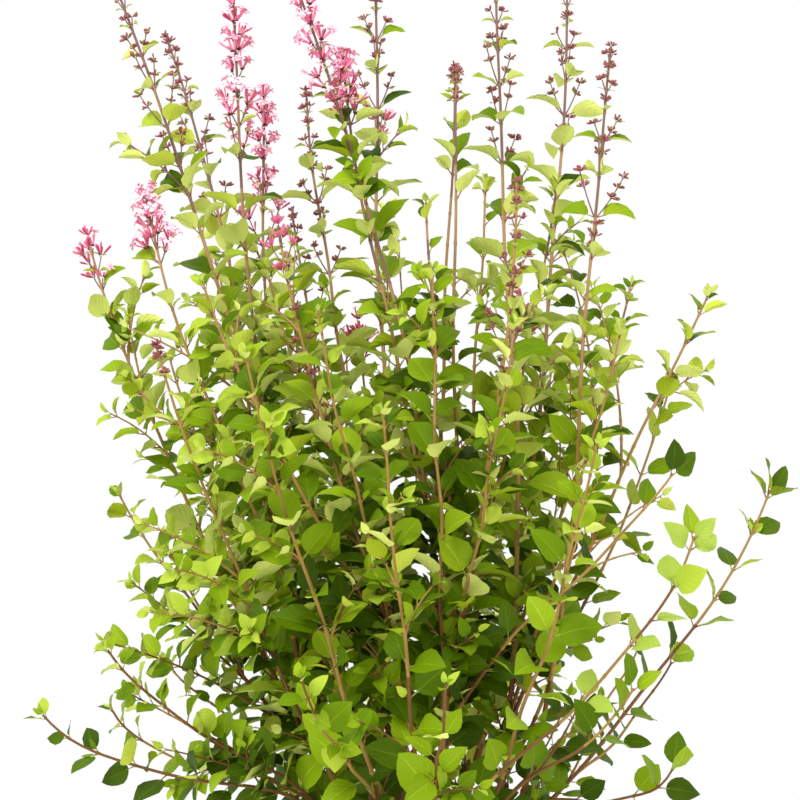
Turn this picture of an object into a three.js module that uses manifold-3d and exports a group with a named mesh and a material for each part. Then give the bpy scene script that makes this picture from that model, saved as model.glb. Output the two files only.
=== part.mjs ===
// A young lilac bush, rooted in the ground: a root crown cut flat at ground level, 24 slender stems that
// fan out of it, and on each stem one mass of leafy shoots, some of them ending in flower or bud panicles.
// Millimetres, +Z up, +X to the right, -Y to the front. The origin is the middle of the flat ground cut.

import * as THREE from "three";
import { mergeVertices } from "three/addons/utils/BufferGeometryUtils.js";
import Module from "manifold-3d";

const wasm = await Module();
wasm.setup();

// The root crown: the woody foot that all the stems rise from, flared where it meets the ground.
const rootCrown = {
  flareRadius: 72,
  neckRadius: 52,
  neckHeight: 26,
  height: 56,
  lobes: 5,
  lobeDepth: 0.1,
  segments: 15,
};

// Clearance between a piece and the one that carries it, and between two masses, and the finest detail kept.
const seatGap = 0.3;
const massGap = 1;
const finestDetail = 1e-3;

// Stems, leaves and flowers.
const stem = { footDepth: 24, footSlope: 0.45, footRadius: 4.8, tipRadius: 3.4, steps: 2, unevenness: 0.24 };
const shoot = { footRadius: 1.7, radiusPerLength: 0.0022, tipRadius: 1.5, handle: 0.36, firstHandle: 0.2 };
const twig = { shortest: 55, longest: 105, radius: 1.6, rise: 0.2, spread: 0.85 };
const twigPlace = { lowest: 0.1, highest: 0.62, chance: 0.18 };
const leaf = { longest: 72, shortest: 34, breadth: 0.68, thickness: 0.02, thickestAt: 0.1, widestAt: 0.46 };
const leafCurl = { fold: 0.14, droop: 0.1, roll: 0.9 };
const leafNodes = { spacing: 96, first: 0.15, turnJitter: 0.2 };
const leafAngle = { low: 1.25, high: 0.8, jitter: 0.22 };
const lowestLeaf = 95;
const bareHeart = { radius: 48, top: 620 };
// Limbs are four-sided, with their corners on the axes they are built on, so a leaf pair stands on two flats.
const sides = 4;
const flatTurn = Math.PI / sides;
const flatShare = Math.cos(flatTurn);
const rootDepth = 1;

// A panicle: how much of the shoot's end it takes, its tiers of flower spindles, and the spindles' sizes.
const panicles = {
  open: { length: 150, tiers: 4, longest: 42, shortest: 18, girth: 13, angle: 0.7 },
  rose: { length: 50, tiers: 1, longest: 20, shortest: 14, girth: 10, angle: 0.7 },
  bud: { length: 96, tiers: 2, longest: 34, shortest: 12, girth: 7, angle: 0.6 },
};

// The two shoots of a stem that has none of its own in the rings below: how far out and up their tips stand,
// how they rise towards them, and how far round they swing from the stem's own bearing, in degrees.
const usualShoots = [
  { reach: 290, height: 575, rise: 0.3, aside: 0 },
  { reach: 300, height: 320, rise: 0.35, aside: 10 },
];
const shootUnevenness = 0.08;

// The stems stand in three rings on the root crown, evenly round each. Each row of tips is one stem's shoots:
// how far right, back and up the shoot's tip stands, how it rises towards it, and what it ends in.
const rings = [
  {
    name: "outer",
    stems: 12,
    footRadius: 43,
    forkReach: 82,
    forkHeight: 128,
    firstBearing: 0,
    tips: {
      1: [
        [350, 0, 480, 0.45, "leaf"],
        [260, 70, 300, 0.3, "leaf"],
      ],
      7: [
        [-335, 20, 735, 0.4, "rose"],
        [-305, 30, 475, 0.15, "leaf"],
        [-310, 10, 260, 0.55, "leaf"],
      ],
      8: [
        [-245, -175, 620, 0.3, "bud"],
        [-300, -95, 330, 0.35, "leaf"],
        [-360, -110, 270, 0.4, "leaf"],
      ],
      10: [
        [-35, -260, 560, 0.3, "leaf"],
        [250, -190, 445, 0.55, "leaf"],
        [20, -290, 320, 0.4, "leaf"],
      ],
      12: [
        [180, -120, 905, 0.1, "bud"],
        [235, -150, 225, 0.55, "leaf"],
      ],
    },
  },
  {
    name: "middle",
    stems: 8,
    footRadius: 25,
    forkReach: 68,
    forkHeight: 215,
    firstBearing: 22.5,
    tips: {
      1: [
        [160, 170, 1035, 0.9, "bud"],
        [220, 85, 690, 0.3, "leaf"],
      ],
      2: [
        [40, 190, 930, 0.4, "bud"],
        [120, 160, 660, 0.6, "rose"],
      ],
      3: [
        [-135, 150, 770, 0.2, "bud"],
        [-65, 150, 655, -0.2, "rose"],
        [-215, 120, 720, 0.3, "leaf"],
      ],
      4: [
        [-185, -20, 960, 0.7, "open"],
        [-160, 60, 880, 1, "open"],
        [-265, 110, 950, -0.6, "bud"],
      ],
      5: [
        [-300, -90, 985, -0.2, "bud"],
        [-260, -120, 760, 0.5, "open"],
      ],
      6: [
        [-135, -130, 735, 0.45, "rose"],
        [-205, -140, 680, 0.3, "leaf"],
        [-95, -190, 650, 0.3, "leaf"],
      ],
      7: [
        [90, -130, 775, 1, "bud"],
        [10, -175, 690, 0.3, "leaf"],
        [240, -110, 500, 0.15, "leaf"],
        [85, -185, 640, 0.3, "leaf"],
      ],
      8: [
        [75, -20, 1005, 1.15, "bud"],
        [285, -30, 675, -0.05, "leaf"],
        [190, -120, 640, 0.2, "leaf"],
      ],
    },
  },
  {
    name: "inner",
    stems: 4,
    footRadius: 9,
    forkReach: 34,
    forkHeight: 290,
    firstBearing: 45,
    tips: {
      1: [
        [70, 120, 800, 0.4, "leaf"],
        [140, 50, 790, 0.4, "leaf"],
      ],
      2: [
        [-45, 60, 1030, 0.95, "bud"],
        [-120, 150, 900, 0.6, "bud"],
      ],
      3: [
        [-150, -60, 700, 0.3, "leaf"],
        [-285, -55, 590, 0.1, "leaf"],
      ],
      4: [
        [35, -60, 890, -0.6, "bud"],
        [-120, -150, 965, -0.85, "open"],
        [-75, -100, 895, 0.35, "open"],
        [5, -85, 760, 0.2, "leaf"],
      ],
    },
  },
];

const up = new THREE.Vector3(0, 0, 1);

function seededRandom(seed) {
  let state = seed >>> 0;
  return () => {
    state = (state + 0x6d2b79f5) >>> 0;
    let mixed = Math.imul(state ^ (state >>> 15), state | 1);
    mixed ^= mixed + Math.imul(mixed ^ (mixed >>> 7), mixed | 61);
    return ((mixed ^ (mixed >>> 14)) >>> 0) / 4294967296;
  };
}

const between = (low, high, share) => low + (high - low) * share;

function solidOf(geometry) {
  const bare = geometry.index ? geometry.toNonIndexed() : geometry.clone();
  bare.deleteAttribute("normal");
  bare.deleteAttribute("uv");
  const merged = mergeVertices(bare, finestDetail);
  const vertProperties = new Float32Array(merged.attributes.position.array);
  const triVerts = new Uint32Array(merged.index.array);
  return new wasm.Manifold(new wasm.Mesh({ numProp: 3, vertProperties, triVerts }));
}

function geometryOf(solid) {
  const mesh = solid.getMesh();
  const geometry = new THREE.BufferGeometry();
  geometry.setAttribute("position", new THREE.BufferAttribute(new Float32Array(mesh.vertProperties), 3));
  geometry.setIndex(new THREE.BufferAttribute(new Uint32Array(mesh.triVerts), 1));
  geometry.computeVertexNormals();
  return geometry;
}

function mainBody(solid) {
  return solid.decompose().reduce((best, body) => (body.volume() > best.volume() ? body : best));
}

// Joins solids pairwise, then keeps the main body: a sealed hollow or a loose scrap comes away as a body of
// its own, before or after the corners that all but touch are brought together.
function joined(solids) {
  let row = solids;
  while (row.length > 1) {
    const next = [];
    for (let i = 0; i < row.length; i += 2) {
      next.push(i + 1 < row.length ? row[i].add(row[i + 1]) : row[i]);
    }
    row = next;
  }
  return mainBody(solidOf(geometryOf(mainBody(row[0]))));
}

// A point on a curve, the curve's direction there, and the two directions square to it. The first of those
// lies level and square to the way the curve leans, so the curve never runs along it.
function frameOn(curve, along) {
  const span = curve.getPoint(1).sub(curve.getPoint(0));
  const tangent = curve.getTangentAt(along);
  const across = new THREE.Vector3(-span.y, span.x, 0).normalize();
  across.addScaledVector(tangent, -across.dot(tangent)).normalize();
  const inward = new THREE.Vector3().crossVectors(across, tangent);
  return { middle: curve.getPointAt(along), tangent, across, inward };
}

// A closed tapering four-sided tube along a curve.
function limb(curve, footRadius, tipRadius, steps) {
  const tube = new THREE.CylinderGeometry(tipRadius, footRadius, 1, sides, steps);
  const place = tube.attributes.position;
  const corner = new THREE.Vector3();
  for (let i = 0; i < place.count; i += 1) {
    corner.fromBufferAttribute(place, i);
    const along = Math.min(1, Math.max(0, corner.y + 0.5));
    const { middle, across, inward } = frameOn(curve, along);
    middle.addScaledVector(across, corner.x).addScaledVector(inward, corner.z);
    place.setXYZ(i, middle.x, middle.y, middle.z);
  }
  return tube;
}

// A leaf of eight faces, its root at the origin and its midrib along +X: widest before its middle, its two
// halves folded up from the midrib and its tip arched down.
function leafBlade(length, width, thickness) {
  const blade = new THREE.OctahedronGeometry(1, 0);
  const place = blade.attributes.position;
  for (let i = 0; i < place.count; i += 1) {
    const [x, y, z] = [place.getX(i), place.getY(i), place.getZ(i)];
    const rib = Math.abs(z) > 0.5 ? leaf.thickestAt : leaf.widestAt;
    const along = Math.abs(x) > 0.5 ? (x + 1) / 2 : rib;
    const raised = (Math.abs(y) * leafCurl.fold * width) / 2 - (x > 0.5 ? leafCurl.droop * length : 0);
    place.setXYZ(i, along * length, (y * width) / 2, (z * thickness) / 2 + raised);
  }
  return blade;
}

// A flower spindle: an eight-faced bud or floret cluster, thin at its root and fullest near its end.
function spindle(length, girth) {
  const body = new THREE.OctahedronGeometry(1, 0);
  const place = body.attributes.position;
  for (let i = 0; i < place.count; i += 1) {
    const along = Math.abs(place.getX(i)) > 0.5 ? (place.getX(i) + 1) / 2 : 0.62;
    place.setXYZ(i, along * length, (place.getY(i) * girth) / 2, (place.getZ(i) * girth) / 2);
  }
  return body;
}

// Stands a piece on a limb: at a share of its length, turned round it, leaning away from it by an angle, and
// with its root a little under the limb's flat side.
function standOn(rod, along, turn, angle, roll = 0, lift = 0) {
  const { middle, tangent, across, inward } = frameOn(rod.curve, along);
  const outward = across.multiplyScalar(Math.cos(turn)).addScaledVector(inward, Math.sin(turn));
  const direction = tangent.clone().multiplyScalar(Math.cos(angle)).addScaledVector(outward, Math.sin(angle));
  const face = tangent.clone().multiplyScalar(Math.sin(angle)).addScaledVector(outward, -Math.cos(angle));
  const side = new THREE.Vector3().crossVectors(face, direction);
  const flat = between(rod.footRadius, rod.tipRadius, along) * flatShare;
  const depth = Math.max(0, flat - rootDepth);
  const root = middle.addScaledVector(outward, depth).addScaledVector(direction, lift);
  const stand = new THREE.Matrix4().makeBasis(direction, side, face).setPosition(root);
  return stand.multiply(new THREE.Matrix4().makeRotationX(roll));
}

// The space that limbs, leaves and flowers take up. A piece may only touch the limb that carries it.
const taken = [];

function reserve(limbName, solid) {
  taken.push({ limbName, solid, box: solid.boundingBox() });
}

function boxesMeet(a, b) {
  return [0, 1, 2].every((axis) => a.min[axis] <= b.max[axis] && b.min[axis] <= a.max[axis]);
}

function isFree(carrier, solid) {
  const box = solid.boundingBox();
  if (box.min[2] < lowestLeaf) {
    return false;
  }
  const near = taken.filter((piece) => piece.limbName !== carrier && boxesMeet(piece.box, box));
  return near.every((piece) => piece.solid.intersect(solid).isEmpty());
}

// A stem's curve: from its foot in the root crown, leaning out to its fork. No two forks stand quite alike.
function stemCurve(ring, bearing, random) {
  const uneven = () => 1 + stem.unevenness * (2 * random() - 1);
  const [reach, height, swing] = [ring.forkReach * uneven(), ring.forkHeight * uneven(), uneven() - 1];
  const foot = new THREE.Vector3(ring.footRadius, 0, rootCrown.height - stem.footDepth);
  foot.z -= ring.footRadius * stem.footSlope;
  const bend = new THREE.Vector3(between(foot.x, reach, 0.35), 0, between(foot.z, height, 0.55));
  const fork = new THREE.Vector3(reach, reach * swing, height);
  const turned = [foot, bend, fork].map((point) => point.applyAxisAngle(up, bearing));
  return new THREE.QuadraticBezierCurve3(...turned);
}

function usualTips(bearing, random) {
  return usualShoots.map(({ reach, height, rise, aside }) => {
    const [out, high] = [reach, height].map((size) => size * (1 + shootUnevenness * (2 * random() - 1)));
    const around = bearing + THREE.MathUtils.degToRad(aside);
    return [out * Math.cos(around), out * Math.sin(around), high, rise, "leaf"];
  });
}

// A shoot's curve: the first on a stem leaves along the stem's own direction, and the others fork off it.
// Towards its tip it rises more steeply where its rise is above 0, and arches outward where that is below 0.
function shootCurve(start, heading, tip, rise, forks) {
  const span = tip.clone().sub(start);
  const length = span.length();
  const straight = span.clone().normalize();
  const leave = forks ? straight.clone().add(heading).normalize() : heading;
  const arrive = straight.multiplyScalar(1 - rise).addScaledVector(up, rise).normalize();
  return new THREE.CubicBezierCurve3(
    start,
    start.clone().addScaledVector(leave, length * (forks ? shoot.handle : shoot.firstHandle)),
    tip.clone().addScaledVector(arrive, -length * shoot.handle),
    tip,
  );
}

function addIfFree(mass, carrier, exact, keepOut, limbName = "") {
  if (!isFree(carrier, keepOut) || !isFree(carrier, exact)) {
    return false;
  }
  mass.solids.push(exact);
  reserve(limbName, keepOut);
  return true;
}

function addLeaf(mass, rod, along, turn, angle, roll, length) {
  const width = length * leaf.breadth;
  const thickness = length * leaf.thickness;
  const middle = new THREE.Vector3(length / 2, 0, 0).applyMatrix4(standOn(rod, along, turn, angle));
  if (middle.z < bareHeart.top && Math.hypot(middle.x, middle.y) < bareHeart.radius) {
    return;
  }
  const exact = leafBlade(length, width, thickness).applyMatrix4(standOn(rod, along, turn, angle, roll));
  const wide = leafBlade(length, width + 2 * massGap, thickness + 3 * massGap);
  wide.applyMatrix4(standOn(rod, along, turn, angle, roll, rod.footRadius + massGap));
  addIfFree(mass, rod.name, solidOf(exact), solidOf(wide));
}

function addLeafPair(mass, rod, along, turn, size, random) {
  for (const side of [0, Math.PI]) {
    const lean = between(leafAngle.low, leafAngle.high, along) + (random() - 0.5) * leafAngle.jitter;
    const aside = turn + side + (random() - 0.5) * leafNodes.turnJitter;
    const roll = (random() - 0.5) * leafCurl.roll;
    addLeaf(mass, rod, along, aside, lean, roll, size * between(0.88, 1.1, random()));
  }
}

function limbSteps(length) {
  return Math.max(2, Math.round(length / leafNodes.spacing));
}

function rodSolid({ curve, length, footRadius, tipRadius }, swell) {
  return solidOf(limb(curve, footRadius + swell, tipRadius + swell, limbSteps(length)));
}

function addTwig(mass, rod, along, turn, random) {
  const stand = standOn(rod, along, turn, twig.spread);
  const [direction, foot] = [new THREE.Vector3().setFromMatrixColumn(stand, 0), rod.curve.getPointAt(along)];
  const length = between(twig.shortest, twig.longest, random());
  const tip = foot.clone().addScaledVector(direction, length).addScaledVector(up, length * twig.rise);
  const bend = foot.clone().addScaledVector(direction, length * 0.5);
  const curve = new THREE.QuadraticBezierCurve3(foot, bend, tip);
  const name = `${rod.name} twig ${along}`;
  const side = { name, curve, length, footRadius: twig.radius, tipRadius: shoot.tipRadius };
  if (addIfFree(mass, rod.name, rodSolid(side, 0), rodSolid(side, massGap), name)) {
    addLeafPair(mass, side, 0.5, flatTurn, leaf.longest * 0.72, random);
    addLeafPair(mass, side, 0.93, 3 * flatTurn, leaf.longest * 0.6, random);
  }
}

function addSpindle(mass, rod, along, turn, angle, length, girth) {
  const body = spindle(length, girth).applyMatrix4(standOn(rod, along, turn, angle));
  const wide = spindle(length, girth + 2 * massGap);
  wide.applyMatrix4(standOn(rod, along, turn, angle, 0, rod.tipRadius + massGap));
  addIfFree(mass, rod.name, solidOf(body), solidOf(wide));
}

function addPanicle(mass, rod, kind, random) {
  const first = 1 - (0.8 * kind.length) / rod.length;
  for (let tier = 0; tier < kind.tiers; tier += 1) {
    const share = tier / kind.tiers;
    const length = between(kind.longest, kind.shortest, share) * between(0.85, 1.1, random());
    const turn = (1 + 2 * tier) * flatTurn;
    for (const side of [0, Math.PI]) {
      addSpindle(mass, rod, between(first, 1, share), turn + side, kind.angle, length, kind.girth);
    }
  }
  addSpindle(mass, rod, 1, 0, 0, kind.shortest, kind.girth);
}

// One mass for each stem: its shoots are laid first, for all masses, and their leaves after that.
function layShoots(mass, fork, heading, tips, seed) {
  let start = fork.clone().addScaledVector(heading, seatGap);
  tips.forEach(([x, y, z, rise, ends], index) => {
    const curve = shootCurve(start, heading, new THREE.Vector3(x, y, z), rise, index > 0);
    const length = curve.getLength();
    const footRadius = shoot.footRadius + shoot.radiusPerLength * length;
    const name = `${mass.name} shoot ${index + 1}`;
    const rod = { name, curve, length, footRadius, tipRadius: shoot.tipRadius };
    mass.solids.push(rodSolid(rod, 0));
    reserve(name, rodSolid(rod, massGap));
    mass.shoots.push({ rod, ends, random: seededRandom(seed + index) });
    const main = mass.shoots[0].rod;
    start = main.curve.getPointAt((12 + 10 * index) / main.length);
  });
}

function dressShoot(mass, { rod, ends, random }) {
  const kind = panicles[ends];
  const leafEnd = 1 - (kind ? kind.length : 0.4 * leafNodes.spacing) / rod.length;
  const steps = limbSteps(rod.length);
  let turn = flatTurn + (random() < 0.5 ? Math.PI / 2 : 0);
  for (let along = leafNodes.first / steps; along < leafEnd; along += 1 / steps) {
    const size = between(leaf.longest, leaf.shortest, Math.max(0, (along - 0.35) / 0.65) ** 1.4);
    addLeafPair(mass, rod, along, turn, size, random);
    turn += Math.PI / 2;
    const twigSeed = Math.floor(random() * 1e6);
    if (along > twigPlace.lowest && along < twigPlace.highest && random() < twigPlace.chance) {
      addTwig(mass, rod, along, turn, seededRandom(twigSeed));
    }
  }
  if (kind) {
    addPanicle(mass, rod, kind, random);
  } else {
    addLeafPair(mass, rod, 0.985, turn, leaf.shortest, random);
  }
}

function rootCrownGeometry() {
  const { flareRadius, neckRadius, neckHeight, height } = rootCrown;
  const profile = [
    new THREE.Vector2(0, 0),
    new THREE.Vector2(flareRadius, 0),
    new THREE.Vector2(between(flareRadius, neckRadius, 0.62), neckHeight * 0.35),
    new THREE.Vector2(neckRadius, neckHeight),
    new THREE.Vector2(neckRadius * 0.86, between(neckHeight, height, 0.55)),
    new THREE.Vector2(neckRadius * 0.5, between(neckHeight, height, 0.9)),
    new THREE.Vector2(0, height),
  ];
  const stool = new THREE.LatheGeometry(profile, rootCrown.segments).rotateX(Math.PI / 2);
  const place = stool.attributes.position;
  for (let i = 0; i < place.count; i += 1) {
    const [x, y, z] = [place.getX(i), place.getY(i), place.getZ(i)];
    const swell = 1 + rootCrown.lobeDepth * (1 - z / height) * Math.cos(rootCrown.lobes * Math.atan2(y, x));
    place.setXYZ(i, x * swell, y * swell, z);
  }
  return stool;
}

const materials = {
  bark: new THREE.MeshStandardMaterial({ color: 0x9a6a4c, roughness: 0.85, metalness: 0 }),
  foliage: new THREE.MeshStandardMaterial({ color: 0x6f9c22, roughness: 0.6, metalness: 0 }),
};

const group = new THREE.Group();

function addNode(name, solid, material) {
  const mesh = new THREE.Mesh(geometryOf(solid), material);
  mesh.name = name;
  group.add(mesh);
}

let rootSolid = solidOf(rootCrownGeometry());
const masses = [];
for (const ring of rings) {
  for (let number = 1; number <= ring.stems; number += 1) {
    const label = `${ring.name}_${String(number).padStart(2, "0")}`;
    const bearing = THREE.MathUtils.degToRad(ring.firstBearing + (360 * (number - 1)) / ring.stems);
    const seed = 100 * masses.length;
    const random = seededRandom(seed);
    const curve = stemCurve(ring, bearing, random);
    const tips = ring.tips[number] ?? usualTips(bearing, random);
    const stemSolid = solidOf(limb(curve, stem.footRadius, stem.tipRadius, stem.steps));
    const socket = solidOf(limb(curve, stem.footRadius + seatGap, stem.tipRadius + seatGap, stem.steps));
    rootSolid = rootSolid.subtract(socket);
    reserve(`stem_${label}`, socket);
    addNode(`stem_${label}`, stemSolid, materials.bark);
    const mass = { name: `foliage_${label}`, solids: [], shoots: [] };
    layShoots(mass, curve.getPointAt(1), curve.getTangentAt(1), tips, seed + 1);
    masses.push(mass);
  }
}
addNode("root_crown", rootSolid, materials.bark);

for (const mass of masses) {
  mass.shoots.forEach((laid) => dressShoot(mass, laid));
}
for (const mass of masses) {
  addNode(mass.name, joined(mass.solids), materials.foliage);
}

export default group;
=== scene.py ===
# A young lilac bush in flower: a gnarled root crown, 24 stems fanning out of it, shoots with leaves in
# opposite pairs, and panicles in bloom and in bud. It grows by the same rule as the solids it dresses.
# Lengths are in millimetres while a piece grows, and it is scaled to metres as it is finished.
import math
import random
import bpy
import bmesh
import numpy as np
from mathutils import Matrix, Vector, noise


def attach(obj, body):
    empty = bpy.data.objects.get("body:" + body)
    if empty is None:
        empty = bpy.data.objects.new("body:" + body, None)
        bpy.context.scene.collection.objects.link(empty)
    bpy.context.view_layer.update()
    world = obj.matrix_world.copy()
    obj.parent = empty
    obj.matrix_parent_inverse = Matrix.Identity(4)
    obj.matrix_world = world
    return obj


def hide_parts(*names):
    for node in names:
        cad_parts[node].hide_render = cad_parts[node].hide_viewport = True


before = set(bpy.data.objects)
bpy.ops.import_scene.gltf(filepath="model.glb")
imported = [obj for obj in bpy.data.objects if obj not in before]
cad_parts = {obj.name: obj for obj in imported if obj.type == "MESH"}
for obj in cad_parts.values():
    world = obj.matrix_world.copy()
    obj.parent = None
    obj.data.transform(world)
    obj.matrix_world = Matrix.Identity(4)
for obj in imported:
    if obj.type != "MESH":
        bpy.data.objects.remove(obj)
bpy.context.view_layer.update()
mm = 0.001
turnQuarter = math.pi / 2
up = Vector((0, 0, 1))

# the growth rule, with the sizes and seeds of the solids; only the shoots are slimmer here
growth = {
    "crownHeight": 56, "footDepth": 24, "footSlope": 0.45,
    "stemFoot": 4.8, "stemTip": 3.4, "stemUnevenness": 0.24, "bendOut": 0.35, "bendUp": 0.55,
    "seatGap": 0.3, "shootFoot": 1.7, "shootPerLength": 0.0022, "shootSlimness": 0.82, "shootTip": 1.1,
    "handle": 0.36, "firstHandle": 0.2, "firstFork": 12, "nextFork": 10,
    "nodeSpacing": 96, "firstNode": 0.15, "leafyEnd": 0.4, "drawsPerNode": 8, "firstTurn": math.pi / 4,
    "twigShortest": 55, "twigLongest": 105, "twigRise": 0.2, "twigSpread": 0.85,
    "twigLowest": 0.1, "twigHighest": 0.62, "twigChance": 0.18,
    "sway": 2.2, "swings": 17, "rocks": 13, "phase": 0.37,
    "samples": 241, "nudge": 0.005,
}
usualShoots = [
    {"reach": 290, "height": 575, "rise": 0.3, "aside": 0},
    {"reach": 300, "height": 320, "rise": 0.35, "aside": 10},
]
shootUnevenness = 0.08
# shoots whose panicle is of another kind than on the solids
ownEnds = {
    "middle 5 shoot 2": "plume", "inner 4 shoot 3": "plume",
    "inner 4 shoot 1": "tip", "middle 2 shoot 1": "tip", "outer 8 shoot 1": "tip",
}
# each ring of stems, with its shoots' tips as (x, y, z, rise, end) where they don't follow usualShoots
rings = [
    {"name": "outer", "stems": 12, "foot": 43, "forkReach": 82, "forkHeight": 128, "bearing": 0, "tips": {
        1: [(350, 0, 480, 0.45, "leaf"), (260, 70, 300, 0.3, "leaf")],
        7: [(-335, 20, 735, 0.4, "rose"), (-305, 30, 475, 0.15, "leaf"), (-310, 10, 260, 0.55, "leaf")],
        8: [(-245, -175, 620, 0.3, "bud"), (-300, -95, 330, 0.35, "leaf"), (-360, -110, 270, 0.4, "leaf")],
        10: [(-35, -260, 560, 0.3, "leaf"), (250, -190, 445, 0.55, "leaf"), (20, -290, 320, 0.4, "leaf")],
        12: [(180, -120, 905, 0.1, "bud"), (235, -150, 225, 0.55, "leaf")],
    }},
    {"name": "middle", "stems": 8, "foot": 25, "forkReach": 68, "forkHeight": 215, "bearing": 22.5, "tips": {
        1: [(160, 170, 1035, 0.9, "bud"), (220, 85, 690, 0.3, "leaf")],
        2: [(40, 190, 930, 0.4, "bud"), (120, 160, 660, 0.6, "rose")],
        3: [(-135, 150, 770, 0.2, "bud"), (-65, 150, 655, -0.2, "rose"), (-215, 120, 720, 0.3, "leaf")],
        4: [(-185, -20, 960, 0.7, "open"), (-160, 60, 880, 1, "open"), (-265, 110, 950, -0.6, "bud")],
        5: [(-300, -90, 985, -0.2, "bud"), (-260, -120, 760, 0.5, "open")],
        6: [(-135, -130, 735, 0.45, "rose"), (-205, -140, 680, 0.3, "leaf"), (-95, -190, 650, 0.3, "leaf")],
        7: [
            (90, -130, 775, 1, "bud"), (10, -175, 690, 0.3, "leaf"),
            (240, -110, 500, 0.15, "leaf"), (85, -185, 640, 0.3, "leaf"),
        ],
        8: [(75, -20, 1005, 1.15, "bud"), (285, -30, 675, -0.05, "leaf"), (190, -120, 640, 0.2, "leaf")],
    }},
    {"name": "inner", "stems": 4, "foot": 9, "forkReach": 34, "forkHeight": 290, "bearing": 45, "tips": {
        1: [(70, 120, 800, 0.4, "leaf"), (140, 50, 790, 0.4, "leaf")],
        2: [(-45, 60, 1030, 0.95, "bud"), (-120, 150, 900, 0.6, "bud")],
        3: [(-150, -60, 700, 0.3, "leaf"), (-285, -55, 590, 0.1, "leaf")],
        4: [
            (35, -60, 890, -0.6, "bud"), (-120, -150, 965, -0.85, "open"),
            (-75, -100, 895, 0.35, "open"), (5, -85, 760, 0.2, "leaf"),
        ],
    }},
]


def between(low, high, share):
    return low + (high - low) * share


def clamp(value, low=0.0, high=1.0):
    return max(low, min(high, value))


def seededRandom(seed):
    # the solids' own number generator, in 32-bit whole numbers
    state = seed & 0xFFFFFFFF

    def draw():
        nonlocal state
        state = (state + 0x6D2B79F5) & 0xFFFFFFFF
        mixed = ((state ^ (state >> 15)) * (state | 1)) & 0xFFFFFFFF
        mixed ^= (mixed + (mixed ^ (mixed >> 7)) * (mixed | 61)) & 0xFFFFFFFF
        return ((mixed ^ (mixed >> 14)) & 0xFFFFFFFF) / 4294967296

    return draw


class Limb:
    # a stem, shoot or twig: a Bezier curve read by its length, with a radius that falls from foot to tip
    def __init__(self, name, controls, footRadius, tipRadius, sway=0.0):
        self.name = name
        self.footRadius, self.tipRadius = footRadius, tipRadius
        span = Vector(controls[-1]) - Vector(controls[0])
        self.level = Vector((-span.y, span.x, 0)).normalized()
        self.nodes = []
        share = np.linspace(0, 1, growth["samples"])[:, None]
        layer = [np.array(point, float)[None, :] for point in controls]
        while len(layer) > 1:
            layer = [a * (1 - share) + b * share for a, b in zip(layer, layer[1:])]
        path = layer[0]
        if sway:
            phase = sum(controls[-1]) * growth["phase"]
            swing = sway * np.sin(share * math.pi) * np.sin(share * growth["swings"] + phase)
            rock = sway * np.sin(share * math.pi) * np.cos(share * growth["rocks"] + 2 * phase)
            path = path + swing * np.array(self.level)[None, :]
            path = path + rock * np.array(span.cross(self.level).normalized())[None, :]
        reach = np.concatenate([[0.0], np.cumsum(np.linalg.norm(np.diff(path, axis=0), axis=1))])
        self.path, self.share, self.length = path, reach / reach[-1], float(reach[-1])

    def point(self, along):
        return Vector([float(np.interp(along, self.share, self.path[:, axis])) for axis in range(3)])

    def tangent(self, along):
        low, high = max(0.0, along - growth["nudge"]), min(1.0, along + growth["nudge"])
        return (self.point(high) - self.point(low)).normalized()

    def radius(self, along):
        return between(self.footRadius, self.tipRadius, along)

    def stand(self, along, turn, lean, depth=0.4):
        # where a leaf, twig or flower stands on the limb: its root, its direction, its side and its face
        tangent = self.tangent(along)
        across = (self.level - tangent * self.level.dot(tangent)).normalized()
        outward = across * math.cos(turn) + across.cross(tangent) * math.sin(turn)
        direction = tangent * math.cos(lean) + outward * math.sin(lean)
        face = tangent * math.sin(lean) - outward * math.cos(lean)
        root = self.point(along) + outward * max(0.0, self.radius(along) - depth)
        return root, direction, face.cross(direction), face


def stemLimb(ring, number, bearing, draw):
    # a stem from its foot in the crown to its fork
    def uneven():
        return 1 + growth["stemUnevenness"] * (2 * draw() - 1)

    reach, height, swing = ring["forkReach"] * uneven(), ring["forkHeight"] * uneven(), uneven() - 1
    foot = Vector((ring["foot"], 0, growth["crownHeight"] - growth["footDepth"]))
    foot.z -= ring["foot"] * growth["footSlope"]
    bend = Vector((between(foot.x, reach, growth["bendOut"]), 0, between(foot.z, height, growth["bendUp"])))
    fork = Vector((reach, reach * swing, height))
    turned = [Matrix.Rotation(bearing, 3, "Z") @ point for point in (foot, bend, fork)]
    return Limb(f"{ring['name']} {number}", turned, growth["stemFoot"], growth["stemTip"])


def usualTips(bearing, draw):
    # the shoots' tips of a stem that has none of its own in rings
    tips = []
    for usual in usualShoots:
        out, high = [usual[size] * (1 + shootUnevenness * (2 * draw() - 1)) for size in ("reach", "height")]
        around = bearing + math.radians(usual["aside"])
        tips.append((out * math.cos(around), out * math.sin(around), high, usual["rise"], "leaf"))
    return tips


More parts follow.
